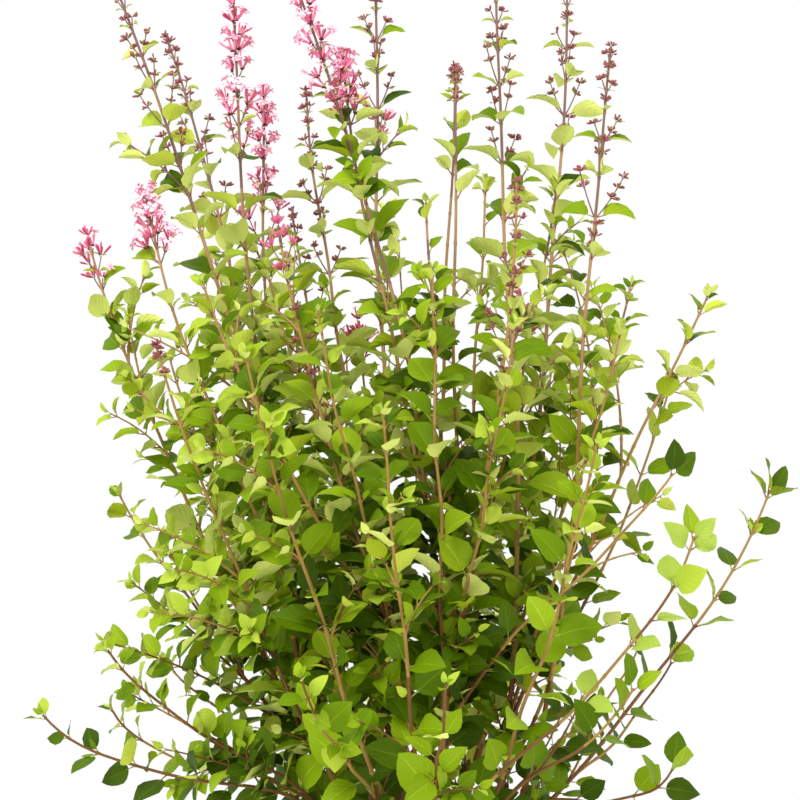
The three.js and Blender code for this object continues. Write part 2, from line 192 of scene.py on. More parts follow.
def layShoots(stem, tips, seed):
    # a stem's shoots: the first goes on in the stem's own line, the others fork off it
    heading = stem.tangent(1)
    start = stem.point(1) + heading * growth["seatGap"]
    shoots = []
    for index, (x, y, z, rise, ends) in enumerate(tips):
        tip = Vector((x, y, z))
        length = (tip - start).length
        straight = (tip - start).normalized()
        leave = (straight + heading).normalized() if index else heading
        arrive = (straight * (1 - rise) + up * rise).normalized()
        handle = growth["handle" if index else "firstHandle"]
        controls = (start, start + leave * length * handle, tip - arrive * length * growth["handle"], tip)
        foot = growth["shootFoot"] + growth["shootPerLength"] * length
        foot *= growth["shootSlimness"]
        shoot = Limb(f"{stem.name} shoot {index + 1}", controls, foot, growth["shootTip"], growth["sway"])
        shoot.ends, shoot.draw = ends, seededRandom(seed + index)
        shoots.append(shoot)
        start = shoots[0].point((growth["firstFork"] + growth["nextFork"] * index) / shoots[0].length)
    return shoots


stems, shoots = [], []
for ring in rings:
    for number in range(1, ring["stems"] + 1):
        bearing = math.radians(ring["bearing"] + 360 * (number - 1) / ring["stems"])
        seed = 100 * len(stems)
        draw = seededRandom(seed)
        stem = stemLimb(ring, number, bearing, draw)
        tips = ring["tips"].get(number) or usualTips(bearing, draw)
        stem.ring = ring["name"]
        for shoot in layShoots(stem, tips, seed + 1):
            shoot.ring = ring["name"]
            shoot.ends = ownEnds.get(shoot.name, shoot.ends)
            shoots.append(shoot)
        stems.append(stem)
print(f"laid {len(stems)} stems and {len(shoots)} shoots")


# materials
class Wire:
    # a shader socket, so that maths on it reads as plain Python
    def __init__(self, surface, socket):
        self.surface, self.socket = surface, socket

    def maths(self, operation, first, second):
        return self.surface.node("ShaderNodeMath", {"operation": operation}, {0: first, 1: second})

    def __add__(self, other):
        return self.maths("ADD", self, other)

    def __radd__(self, other):
        return self.maths("ADD", other, self)

    def __sub__(self, other):
        return self.maths("SUBTRACT", self, other)

    def __rsub__(self, other):
        return self.maths("SUBTRACT", other, self)

    def __mul__(self, other):
        return self.maths("MULTIPLY", self, other)

    def __rmul__(self, other):
        return self.maths("MULTIPLY", other, self)

    def __abs__(self):
        return self.maths("ABSOLUTE", self, 0.0)

    def fraction(self):
        return self.maths("FRACT", self, 0.0)

    def above(self, low, high):
        # 0 below low, 1 above high, smooth between
        settings = {"interpolation_type": "SMOOTHSTEP"}
        return self.surface.node("ShaderNodeMapRange", settings, {"Value": self, 1: low, 2: high})


class Surface:
    # a Principled material; what varies over it is fed in as wires
    def __init__(self, name, colour, roughness, specular):
        self.material = bpy.data.materials.new(name)
        self.material.use_nodes = True
        self.tree = self.material.node_tree
        self.shader = self.tree.nodes["Principled BSDF"]
        self.set("Base Color", paint(colour))
        self.set("Roughness", roughness)
        self.set("Specular IOR Level", specular)
        self.material.diffuse_color = paint(colour)

    def node(self, kind, settings, inputs, output=0):
        made = self.tree.nodes.new(kind)
        for key, value in settings.items():
            if key == "stops":
                self.fillRamp(made.color_ramp, value)
            else:
                setattr(made, key, value)
        for key, value in inputs.items():
            self.feed(made.inputs[key], value)
        return Wire(self, made.outputs[output])

    def fillRamp(self, ramp, stops):
        while len(ramp.elements) < len(stops):
            ramp.elements.new(0.5)
        for element, (place, colour) in zip(ramp.elements, stops):
            element.position = place
            element.color = paint(colour)

    def feed(self, socket, value):
        if isinstance(value, Wire):
            self.tree.links.new(value.socket, socket)
        else:
            socket.default_value = value

    def set(self, name, value):
        self.feed(self.shader.inputs[name], value)

    def objectPlace(self, scale):
        place = self.node("ShaderNodeTexCoord", {}, {}, "Object")
        return self.node("ShaderNodeMapping", {}, {"Vector": place, "Scale": scale})

    def noise(self, place, scale, detail=4.0, roughness=0.55):
        inputs = {"Vector": place, "Scale": scale, "Detail": detail, "Roughness": roughness}
        return self.node("ShaderNodeTexNoise", {}, inputs)

    def bumpFrom(self, height, strength, distance):
        inputs = {"Height": height, "Strength": strength, "Distance": distance}
        self.set("Normal", self.node("ShaderNodeBump", {}, inputs))


def paint(colour):
    # an sRGB colour written 0 to 255, as Blender's linear one
    linear = [(c / 255 / 12.92) if c / 255 <= 0.04045 else ((c / 255 + 0.055) / 1.055) ** 2.4 for c in colour]
    return (*linear, 1.0)


leafLook = {
    "tops": {
        "leafTopLime": (170, 192, 58),
        "leafTopFresh": (144, 170, 26),
        "leafTopSpring": (122, 150, 8),
        "leafTopMid": (100, 130, 2),
        "leafTopDeep": (78, 106, 0),
        "leafTopShade": (58, 82, 0),
        "leafTopSage": (166, 190, 74),
    },
    # the undersides are paler than the tops, as on real leaves, and their palest tints also carry a painted
    # glow of light shining through the leaf
    "unders": {
        "leafUnderPaleGlow": (228, 238, 124),
        "leafUnderLightGlow": (208, 222, 80),
        "leafUnderSoft": (172, 190, 38),
        "leafUnderDull": (130, 150, 24),
    },
    "petioles": {"petioleGreen": (150, 160, 70), "petioleRed": (146, 92, 70)},
    "roughness": 0.55, "specular": 0.1,
    "veins": 5.0, "veinShift": 4.0, "veinSweep": 0.45, "ribWidth": 0.3,
    "quilt": 0.6, "rib": 0.5, "veinStrength": 0.6, "veinHeight": 0.0006,
}


def leafSurface(name, colour):
    # side veins that sweep forward from the midrib, raised by the map: along the blade, then across it
    surface = Surface(name, colour, leafLook["roughness"], leafLook["specular"])
    place = surface.node("ShaderNodeUVMap", {}, {})
    along = surface.node("ShaderNodeSeparateXYZ", {}, {"Vector": place}, "X")
    aside = abs(surface.node("ShaderNodeSeparateXYZ", {}, {"Vector": place}, "Y") * 2.0 - 1.0)
    rows = (along - aside * leafLook["veinSweep"]) * leafLook["veins"] + leafLook["veinShift"]
    quilt = abs(rows.fraction() - 0.5).above(0.0, 0.5) * leafLook["quilt"]
    rib = aside.above(0.0, leafLook["ribWidth"]) * leafLook["rib"]
    surface.bumpFrom(quilt + rib, leafLook["veinStrength"], leafLook["veinHeight"])
    return surface.material


plainLooks = {
    "petiole": {"roughness": 0.5, "grain": 0.0},
    "shoot": {"roughness": 0.55, "grain": 0.5, "grainScale": 1400.0},
    "petal": {"roughness": 0.5, "grain": 0.25, "grainScale": 2600.0},
}
plainGrain = {"specular": 0.35, "stretch": 0.35, "height": 0.0006}


def plainSurface(name, colour, look):
    surface = Surface(name, colour, look["roughness"], plainGrain["specular"])
    if look["grain"]:
        grain = surface.noise(surface.objectPlace((1, 1, plainGrain["stretch"])), look["grainScale"])
        surface.bumpFrom(grain, look["grain"], plainGrain["height"])
    return surface.material


# one pattern for all the bark: streaks up the wood, grey patches, an aged foot and pale pores
barkPattern = {
    "roughness": 0.62, "roughnessSpread": 0.3, "specular": 0.25, "bump": 0.8, "poreBump": 0.6,
    "streakStretch": 0.16, "streakDetail": 6.0, "streakRoughness": 0.65, "streakShare": 0.65,
    "patchStretch": 0.5, "patchScale": 24.0, "patchDetail": 3.0, "patchFrom": 0.42, "patchTo": 0.62,
    "agedStreaks": 0.8, "agedEven": 0.35,
    "poreScale": 190.0, "poreStretch": 1.9, "poreSize": 0.24, "poreEdge": 0.1,
    "sparseScale": 95.0, "sparseFrom": 0.5, "sparseTo": 0.58,
}
stemLook = {
    "dark": (72, 46, 26), "brown": (118, 80, 42), "tan": (154, 113, 66), "grey": (108, 87, 66),
    "greyness": 0.35, "pore": (206, 182, 156), "poreShare": 0.6, "grain": 190.0, "relief": 0.0012,
    "agedLow": 0.035, "agedHigh": 0.13, "stops": (0.28, 0.46, 0.68),
}
crownLook = {
    "dark": (56, 43, 32), "brown": (102, 80, 60), "tan": (142, 116, 88), "grey": (126, 108, 88),
    "greyness": 0.5, "pore": (120, 100, 84), "poreShare": 0.0, "grain": 150.0, "relief": 0.003,
    "agedLow": -0.2, "agedHigh": -0.1, "stops": (0.38, 0.48, 0.62),
}


def barkSurface(name, look):
    pattern = barkPattern
    surface = Surface(name, look["brown"], pattern["roughness"], pattern["specular"])
    streaks = surface.noise(
        surface.objectPlace((1, 1, pattern["streakStretch"])), look["grain"],
        pattern["streakDetail"], pattern["streakRoughness"])
    patches = surface.noise(
        surface.objectPlace((1, 1, pattern["patchStretch"])), pattern["patchScale"], pattern["patchDetail"])
    stops = list(zip(look["stops"], (look["dark"], look["brown"], look["tan"])))
    shade = streaks * pattern["streakShare"] + patches * (1 - pattern["streakShare"])
    colour = surface.node("ShaderNodeValToRGB", {"stops": stops}, {"Fac": shade})
    place = surface.node("ShaderNodeTexCoord", {}, {}, "Object")
    height = surface.node("ShaderNodeSeparateXYZ", {}, {"Vector": place}, "Z")
    aged = (1.0 - height.above(look["agedLow"], look["agedHigh"])) * (
        streaks * pattern["agedStreaks"] + pattern["agedEven"])
    worn = patches.above(pattern["patchFrom"], pattern["patchTo"]) * look["greyness"]
    grey = worn * (1.0 - aged) + aged
    mix = {"data_type": "RGBA"}
    weathered = surface.node("ShaderNodeMix", mix, {0: grey, 6: colour, 7: paint(look["grey"])}, 2)
    cells = {"Vector": surface.objectPlace((1, 1, pattern["poreStretch"])), "Scale": pattern["poreScale"]}
    spots = surface.node("ShaderNodeTexVoronoi", {}, cells, "Distance")
    sparse = surface.noise(surface.objectPlace((1, 1, 1)), pattern["sparseScale"], 1.0)
    sparse = sparse.above(pattern["sparseFrom"], pattern["sparseTo"])
    pores = (pattern["poreSize"] - spots).above(0.0, pattern["poreEdge"]) * sparse * look["poreShare"]
    pored = surface.node("ShaderNodeMix", mix, {0: pores, 6: weathered, 7: paint(look["pore"])}, 2)
    surface.set("Base Color", pored)
    surface.set("Roughness", streaks * pattern["roughnessSpread"] + pattern["roughness"])
    surface.bumpFrom(streaks + pores * pattern["poreBump"], pattern["bump"], look["relief"])
    return surface.material


shootTints = {
    "shootRusset": (120, 78, 32),
    "shootTan": (168, 130, 66),
    "shootSand": (176, 136, 92),
    "shootWine": (134, 98, 84),
}
petalTints = {
    "petalPale": (255, 214, 226),
    "petalPink": (252, 192, 210),
    "petalRose": (244, 166, 190),
    "tubePink": (242, 148, 176),
    "tubeRose": (224, 104, 142),
    "tubeDeep": (194, 62, 104),
    "budMaroon": (144, 70, 76),
    "budWine": (160, 80, 90),
    "budBrown": (146, 94, 82),
    "budRusset": (164, 104, 88),
    "sepalDark": (98, 44, 48),
}
leafTops = [leafSurface(name, colour) for name, colour in leafLook["tops"].items()]
leafUnders = [leafSurface(name, colour) for name, colour in leafLook["unders"].items()]
petioles = [plainSurface(*tint, plainLooks["petiole"]) for tint in leafLook["petioles"].items()]
shootBarks = [plainSurface(*tint, plainLooks["shoot"]) for tint in shootTints.items()]
petals = [plainSurface(*tint, plainLooks["petal"]) for tint in petalTints.items()]
print("mixed the materials")


# joined meshes
def meshObject(name, mesh, materials):
    for material in materials:
        mesh.materials.append(material)
    piece = bpy.data.objects.new(name, mesh)
    bpy.context.scene.collection.objects.link(piece)
    return piece


def arraysOf(bm, layers=()):
    # a small model's vertices, faces, tints, map and own layers as arrays
    bm.verts.index_update()
    uv = bm.loops.layers.uv.verify()
    model = {
        "points": np.array([vert.co[:] for vert in bm.verts]),
        "corners": np.array([vert.index for face in bm.faces for vert in face.verts]),
        "sizes": np.array([len(face.verts) for face in bm.faces]),
        "tint": np.array([face.material_index for face in bm.faces]),
        "smooth": np.array([face.smooth for face in bm.faces]),
        "map": np.array([loop[uv].uv[:] for face in bm.faces for loop in face.loops]),
    }
    for layer in layers:
        key = bm.verts.layers.float[layer]
        model[layer] = np.array([vert[key] for vert in bm.verts])
    return model


def joinCopies(name, groups, materials):
    # one mesh of many copies: a group is a model, its copies' vertices in millimetres and their faces' tints
    points, corners, sizes, maps, dealt, smooth = [], [], [], [], [], []
    first = 0
    for model, places, tints in groups:
        copies, count = places.shape[:2]
        points.append(places.reshape(-1, 3))
        corners.append((model["corners"][None, :] + first + count * np.arange(copies)[:, None]).ravel())
        sizes.append(np.tile(model["sizes"], copies))
        maps.append(np.tile(model["map"], (copies, 1)))
        dealt.append(tints.ravel())
        smooth.append(np.tile(model["smooth"], copies))
        first += copies * count
    points, corners, sizes, maps, dealt, smooth = [
        np.concatenate(rows) for rows in (points, corners, sizes, maps, dealt, smooth)]
    mesh = bpy.data.meshes.new(name)
    mesh.vertices.add(len(points))
    mesh.vertices.foreach_set("co", (points * mm).astype(np.float32).ravel())
    mesh.loops.add(len(corners))
    mesh.loops.foreach_set("vertex_index", corners.astype(np.int32))
    mesh.polygons.add(len(sizes))
    starts = np.concatenate([[0], np.cumsum(sizes)[:-1]])
    mesh.polygons.foreach_set("loop_start", starts.astype(np.int32))
    mesh.polygons.foreach_set("material_index", dealt.astype(np.int32))
    mesh.uv_layers.new(name="UVMap").data.foreach_set("uv", maps.astype(np.float32).ravel())
    mesh.update(calc_edges=True)
    mesh.polygons.foreach_set("use_smooth", smooth)
    mesh.validate()
    return meshObject(name, mesh, materials)


# leaves: short ones have few faces
leaf = {
    "rows": (0, 0.035, 0.12, 0.25, 0.43, 0.63, 0.83, 1.0), "tops": (-1, -0.52, -0.035, 0.035, 0.52, 1),
    "unders": (-1, -0.52, 0, 0.52, 1), "stalkSides": 4,
    "fewRows": (0, 0.12, 0.38, 0.7, 1.0), "fewColumns": (-1, 0, 1), "fewStalkSides": 3, "small": 22,
    "baseRound": 0.6, "tipPoint": 1.02, "thickness": 0.35, "rimRound": 3, "waves": 9, "waveShift": 1.3,
    "longest": 42, "young": 19, "growsOver": 170, "growth": 0.75,
    "broad": 0.76, "narrow": 0.56, "slimHigh": 0.35, "slimBelow": 34, "widthSpread": (0.88, 1.12),
    "petiole": 8, "petioleRadius": 0.6, "petioleFlare": 0.5, "petioleGrowth": 0.7,
    "redLow": 0.3, "redHigh": 0.4,
}


def outline(along):
    # half the blade's width, 0 at base and tip and 1 at its widest
    widest = leaf["baseRound"] / (leaf["baseRound"] + leaf["tipPoint"])
    most = widest ** leaf["baseRound"] * (1 - widest) ** leaf["tipPoint"]
    return np.clip(along, 0, 1) ** leaf["baseRound"] * np.clip(1 - along, 0, 1) ** leaf["tipPoint"] / most


def addSheet(bm, rows, columns, sheet, tint, ribTint):
    # one side of the blade, laid flat along +X: pointed at both ends
    uv = bm.loops.layers.uv.verify()
    across, side = bm.verts.layers.float["across"], bm.verts.layers.float["sheet"]
    made = bmesh.ops.create_grid(bm, x_segments=len(rows) - 1, y_segments=len(columns) - 1, size=1)["verts"]
    for vert in made:
        row = round((vert.co.x + 1) / 2 * (len(rows) - 1))
        column = round((vert.co.y + 1) / 2 * (len(columns) - 1))
        vert[across], vert[side] = columns[column], sheet
        vert.co = (rows[row], columns[column] * float(outline(rows[row])), sheet)
    faces = list({face for vert in made for face in vert.link_faces})
    for face in faces:
        middle = sum(vert[across] for vert in face.verts) / 4
        face.material_index = ribTint if abs(middle) < 0.01 else tint  # the strip along the midrib
        if face.normal.z * sheet < 0:
            face.normal_flip()
        for loop in face.loops:
            loop[uv].uv = (loop.vert.co.x, (loop.vert[across] + 1) / 2)
    bmesh.ops.remove_doubles(bm, verts=made, dist=1e-4)


def leafModel(rows, tops, unders, stalkSides):
    # one leaf: tints 0 blade above, 1 blade below, 2 rib above, 3 petiole
    bm = bmesh.new()
    across, sheet, ringY, ringZ = [
        bm.verts.layers.float.new(name) for name in ("across", "sheet", "ringY", "ringZ")]
    addSheet(bm, rows, tops, 1.0, 0, 2)
    addSheet(bm, rows, unders, -1.0, 1, 1)
    stalk = bmesh.ops.create_cone(
        bm, cap_ends=True, segments=stalkSides, radius1=1, radius2=1, depth=1)["verts"]
    for vert in stalk:
        vert[ringY], vert[ringZ] = vert.co.x, vert.co.y
        # the stalk runs from -1 to just inside the blade, and shapeLeaves gives it its thickness
        vert.co = (-1 if vert.co.z < 0 else 0.1, vert.co.x * 0.01, vert.co.y * 0.01)
    for face in {face for vert in stalk for face in vert.link_faces}:
        face.material_index = 3
    for face in bm.faces:
        face.smooth = True
    model = arraysOf(bm, ("across", "sheet", "ringY", "ringZ"))
    bm.free()
    return model


def shapeLeaves(model, rows):
    # bends every leaf at once: a row holds a leaf's four vectors and then its eight sizes and angles
    root, direction, side, face = [rows[:, first:first + 3][:, None, :] for first in (0, 3, 6, 9)]
    sizes = [rows[:, column][:, None] for column in range(12, 20)]
    length, width, droop, fold, twist, wave, phase, petiole = sizes
    along = model["points"][:, 0][None, :]
    across, sheet = model["across"][None, :], model["sheet"][None, :]
    blade = np.clip(along, 0, 1)
    shape = outline(blade)
    # the blade droops in an arc, its halves fold up about the midrib and its edge ripples
    bend = droop * blade
    half = width / 2 * shape
    forward = length * np.sin(bend) / droop + np.minimum(along, 0) * petiole + petiole
    fall = length * (1 - np.cos(bend)) / droop
    aside = across * half * np.cos(fold)
    lift = np.abs(across) * half * np.sin(fold)
    ripple = np.sin(blade * leaf["waves"] + phase + across * leaf["waveShift"])
    lift = lift + wave * width * across ** 2 * ripple * shape
    # its two sides stand apart at the midrib and meet at the rim
    rim = (1 - across ** 2) * np.minimum(1, shape * leaf["rimRound"])
    lift = lift + sheet * leaf["thickness"] / 2 * rim
    # the petiole is thicker towards its foot
    flare = 1 + leaf["petioleFlare"] * np.clip(-along, 0, 1)
    thick = leaf["petioleRadius"] * (length / leaf["longest"]) ** 0.5 * flare
    aside = aside + model["ringY"][None, :] * thick
    lift = lift + model["ringZ"][None, :] * thick
    # the blade twists towards its tip, and then everything follows the arc
    turned = aside * np.cos(twist * blade) - lift * np.sin(twist * blade)
    lift = aside * np.sin(twist * blade) + lift * np.cos(twist * blade)
    ahead = forward + lift * np.sin(bend)
    height = lift * np.cos(bend) - fall
    return root + ahead[..., None] * direction + turned[..., None] * side + height[..., None] * face


class LeafBank:
    # the leaves of one piece, gathered as rows: root, direction, side, face and the sizes in their order
    def __init__(self):
        self.rows, self.tops, self.unders, self.stalks = [], [], [], []

    def add(self, place, sizes, top, under, red):
        # top and under run from 0, the lightest tint, to 1, the darkest; sage, the last top, is dealt apart
        self.rows.append([number for vector in place for number in vector] + sizes)
        self.tops.append(int(clamp(top, 0, 0.999) * (len(leafTops) - 1)))
        self.unders.append(int(clamp(under, 0, 0.999) * len(leafUnders)))
        self.stalks.append(int(red))

    def piece(self, name, full, light):
        rows = np.array(self.rows)
        tops, unders, stalks = [np.array(values)[:, None] for values in (self.tops, self.unders, self.stalks)]
        groups, length = [], rows[:, 12]
        for model, chosen in ((full, length >= leaf["small"]), (light, length < leaf["small"])):
            tint = model["tint"][None, :]
            top, under, stalk = tops[chosen], unders[chosen] + len(leafTops), stalks[chosen]
            rib = np.where(top == len(leafTops) - 1, top, np.maximum(top - 1, 0))
            dealt = np.where(tint == 0, top, np.where(tint == 1, under, rib))
            dealt = np.where(tint == 3, stalk + len(leafTops) + len(leafUnders), dealt)
            groups.append((model, shapeLeaves(model, rows[chosen]), dealt))
        return joinCopies(name, groups, leafTops + leafUnders + petioles)


# strands: stems, shoots, twigs and stalks as round tubes
def strandMesh(name, strands, roundness):
    # one mesh of many tubes: each strand is a tube's points and its radius at each of them
    curve = bpy.data.curves.new(name, "CURVE")
    curve.dimensions = "3D"
    curve.bevel_depth = mm
    curve.bevel_resolution = roundness
    curve.use_fill_caps = True
    for points, radii in strands:
        spline = curve.splines.new("POLY")
        spline.points.add(len(points) - 1)
        places = np.ones((len(points), 4))
        places[:, :3] = np.array(points) * mm
        spline.points.foreach_set("co", places.ravel())
        spline.points.foreach_set("radius", np.array(radii, float))
        spline.use_smooth = True
    guide = bpy.data.objects.new(name + "Guide", curve)
    bpy.context.scene.collection.objects.link(guide)
    mesh = bpy.data.meshes.new_from_object(guide.evaluated_get(bpy.context.evaluated_depsgraph_get()))
    bpy.data.objects.remove(guide)
    bpy.data.curves.remove(curve)
    mesh.name = name
    mesh.materials.clear()
    return mesh


def limbStrand(strands, limb, step, swelling=0.3, nodeReach=3.0):
    # a limb's tube, thicker just where its leaf pairs stand
    count = max(2, round(limb.length / step))
    places = {round(i / count, 5) for i in range(count + 1)}
    for node in limb.nodes:
        places = {place for place in places if abs(place - node) * limb.length > nodeReach or place in (0, 1)}
        places |= {round(node + shift / limb.length, 5) for shift in (-nodeReach, 0, nodeReach)}
    places = sorted(place for place in places if 0 <= place <= 1)
    nodes = np.array(limb.nodes or [-9.0])  # without nodes, one too far away to count
    points, radii = [], []
    for place in places:
        away = float(np.min(np.abs(nodes - place))) * limb.length
        points.append(limb.point(place))
        radii.append(limb.radius(place) * (1 + swelling * max(0.0, 1 - away / nodeReach)))
    strands.append((points, radii))


# the foot of a shoot where it leaves its stem
butt = {"inside": 5, "reach": 26, "swelling": 0.3}


def swellFoot(shoot, points, radii):
    # a shoot's foot starts inside its stem and widens into it
    for number, point in enumerate(points):
        radii[number] *= 1 + butt["swelling"] * max(0.0, 1 - (point - points[0]).length / butt["reach"])
    points.insert(0, points[0] - shoot.tangent(0) * butt["inside"])
    radii.insert(0, radii[0])


# the shoots' leaves and twigs; Low and High are down in the crown and at its top
dress = {
    "seed": 11, "tall": 850, "highFrom": 250, "highOver": 450,
    "firstLeaf": 12, "belowPanicle": 26, "belowTip": 8, "internodeLow": 31, "internodeHigh": 42,
    "internodeSpread": (0.85, 1.15), "closerTo": 0.62, "closerOver": 160,
    "leanLow": 1.05, "leanHigh": 0.66, "leanJitter": 0.4, "turnJitter": 0.6, "pairSpread": (0.84, 1.12),
    "droopLow": (0.15, 0.95), "droopHigh": (0.4, 1.25), "foldLow": (0.05, 0.45), "foldHigh": (0.2, 0.75),
    "curl": 0.45, "wave": (0.02, 0.085), "wavePhase": (0, 6.3), "roll": 1.3,
    "lightPullLow": 0.52, "lightPullHigh": 0.15, "lightSpread": (0.3, 1.5),
    "skyward": 0.5, "outward": 0.55, "frontward": 0.4,
    "leafMiddle": 0.6, "lowestLeaf": 84, "tipKept": 0.93, "heartRadius": 42, "heartTop": 560,
    "twigChanceLow": 0.5, "twigChanceHigh": 0.22, "airyTwigs": 0.12, "twigClear": 60, "twigMost": 0.6,
    "fineTwig": (26, 88), "branchChance": 0.25, "branchGrowth": 1.6, "slimAbove": 560, "slimReach": 325,
    "axilChance": 0.2, "axilLeaf": (13, 22), "axilTurn": 0.2, "axilLean": 0.5, "younger": -0.1,
    "stemNodes": (0.5, 0.62, 0.74, 0.86), "stemChance": 0.6, "stemLeaf": (14, 28), "stemLean": 0.9,
    "stemTone": 0.1, "sprayTone": 0.14, "limbStep": 12,
}
# the lone shoots at the edge of the crown: fewer, larger and flatter leaves that face the light
alone = {
    "leaf": 31, "growth": 1.08, "flatness": 0.5, "pull": 0.8, "below": 0.7, "top": 0.08, "under": 0.4,
    "endPair": 0.9, "endAlong": 0.99, "endLean": 0.45,
}
# the last pairs of a leafy shoot: along it, size, a turn on from the pair before, tone and lean
endPairs = ((0.985, 0.9, 0, 0, 0.55), (0.997, 0.55, 1, -0.1, 0.3))
# side twigs: fine, source and branch are their radii where they leave a shoot
sideTwig = {
    "fine": 1.0, "source": 1.4, "branch": 1.5, "tip": 0.7, "leave": 0.6, "handle": 0.5,
    "firstTurn": math.pi / 4, "firstLeaf": 12, "belowTip": 7, "leaf": (18, 36), "lean": (0.6, 1.0),
    "internode": (15, 21), "internodeSpread": (0.8, 1.2), "growsOver": 75,
    "endPair": 14, "endAlong": 0.99, "endLean": 0.45,
}
# how far a leaf's tint lies from its lightest one at 0 to its darkest at 1
tones = {
    # the inside, high and low shares are painted shade: they darken leaves deep in the crown, the tops of
    # high leaves and the tops of low leaves
    "top": 0.4, "topShadeInside": 0.5, "topHighShade": 0.28, "topLowShade": 0.12, "topYoung": 0.45,
    "under": 0.1, "underShadeInside": 0.66, "underJitter": 1.4,
    "jitter": 0.35, "freshShare": 0.12, "freshPull": 0.3,
    "crownReach": 270, "shadeTop": 760, "shadeOver": 420, "youngBelow": 26,
    "highFrom": 620, "highOver": 200, "lowFrom": 450, "lowOver": 250,
}
chance = random.Random(dress["seed"])
banks = {ring["name"]: LeafBank() for ring in rings}
woods = {ring["name"]: [] for ring in rings}
sage = {"shoot": "outer 10 shoot 2", "from": 140, "share": 0.6}
fine = {"shoot": "outer 8 shoot 3", "leaf": (12, 36), "growsOver": 110}
# branches that only some shoots have: where they leave the shoot, and their tips
ownBranches = {
    "outer 7 shoot 2": ((0.3, (-312, -20, 330)), (0.42, (-290, 25, 385)), (0.55, (-255, -10, 430))),
    "outer 8 shoot 1": ((0.42, (-252, -150, 372)), (0.5, (-226, -195, 415)), (0.56, (-262, -120, 452))),
    "outer 8 shoot 2": ((0.35, (-285, -60, 285)), (0.2, (-245, -95, 235))),
    "outer 7 shoot 1": ((0.72, (-292, 0, 655)), (0.8, (-278, 40, 700))),
    "inner 3 shoot 1": ((0.6, (-100, -20, 660)), (0.7, (-125, 10, 720))),
    "middle 5 shoot 1": ((0.35, (-275, -70, 560)), (0.45, (-285, -50, 640))),
    "middle 8 shoot 2": ((0.45, (165, -60, 590)), (0.6, (170, -40, 680))),
    "middle 1 shoot 2": ((0.5, (150, 20, 620)), (0.7, (145, 60, 730))),
}
# where the crown is open to the sky: middle across and up, half-widths, and the share of leaves that stays
skyGaps = (
    (212, 505, 38, 85, 0.3), (165, 440, 40, 75, 0.45), (190, 240, 90, 75, 0.5), (172, 318, 50, 40, 0.5),
    (8, 760, 36, 60, 0.3), (-15, 690, 45, 25, 0.7), (58, 650, 32, 34, 0.4), (58, 775, 30, 40, 0.5),
    (-242, 248, 30, 34, 0.2), (-285, 642, 28, 28, 0.5), (-282, 545, 26, 28, 0.4), (252, 545, 26, 32, 0.4),
    (105, 292, 28, 28, 0.4), (105, 196, 28, 26, 0.45), (205, 392, 26, 30, 0.35), (256, 296, 26, 28, 0.25),
    (-335, 690, 22, 26, 0.2), (-245, 695, 24, 28, 0.6), (0, 245, 120, 80, 0.62), (175, 430, 26, 34, 0.4),
    (232, 300, 26, 28, 0.4),
)
airyShoots = (
    "outer 1 shoot 1", "outer 1 shoot 2", "outer 2 shoot 1", "outer 2 shoot 2", "outer 8 shoot 3",
    "outer 10 shoot 2", "outer 11 shoot 2", "outer 12 shoot 1", "outer 12 shoot 2", "middle 7 shoot 3",
    "inner 4 shoot 1", "middle 2 shoot 1")


def towardsLight(place, direction, face, pull, roll):
    # turns a blade about its own midrib towards the sky and the crown's open side
    wanted = up * dress["skyward"] + Vector((place.x, place.y, 0)).normalized() * dress["outward"]
    wanted.y -= dress["frontward"]
    wanted = (wanted - direction * wanted.dot(direction)).normalized()
    turned = Matrix.Rotation(roll, 3, direction) @ (face * (1 - pull) + wanted * pull).normalized()
    return turned.cross(direction), turned


def leafTones(point, length, spray):
    # the tints of a leaf's two sides: small young ones are lime; painted shade makes those deep inside the
    # crown darkest, and darkens the tops of leaves high up and low down
    depth = clamp((tones["shadeTop"] - point.z) / tones["shadeOver"])
    inside = max(0.0, 1 - math.hypot(point.x, point.y) / tones["crownReach"]) * depth
    young = max(0.0, 1 - length / tones["youngBelow"])
    jitter = chance.uniform(-tones["jitter"], tones["jitter"])
    if chance.random() < tones["freshShare"]:
        jitter -= tones["freshPull"]
    high = clamp((point.z - tones["highFrom"]) / tones["highOver"])
    low = clamp((tones["lowFrom"] - point.z) / tones["lowOver"])
    # painted shade: tops darker deep inside the crown, high up and low down
    top = tones["top"] + tones["topShadeInside"] * inside + tones["topHighShade"] * high + tones["topLowShade"] * low
    top += spray + jitter - tones["topYoung"] * young
    # painted shade: undersides darker deep inside the crown
    under = tones["under"] + tones["underShadeInside"] * inside + spray + jitter * tones["underJitter"]
    return top, under


def grows(along, middle):
    # whether a leaf has room with its middle there: clear of the ground, the crown's heart and the sky's gaps
    if middle.z < dress["lowestLeaf"]:
        return False
    if middle.z < dress["heartTop"] and math.hypot(middle.x, middle.y) < dress["heartRadius"]:
        return False
    for across, high, halfWide, halfTall, stays in skyGaps:
        within = math.hypot((middle.x - across) / halfWide, (middle.z - high) / halfTall) < 1
        if within and along < dress["tipKept"] and chance.random() > stays:
            return False
    return True


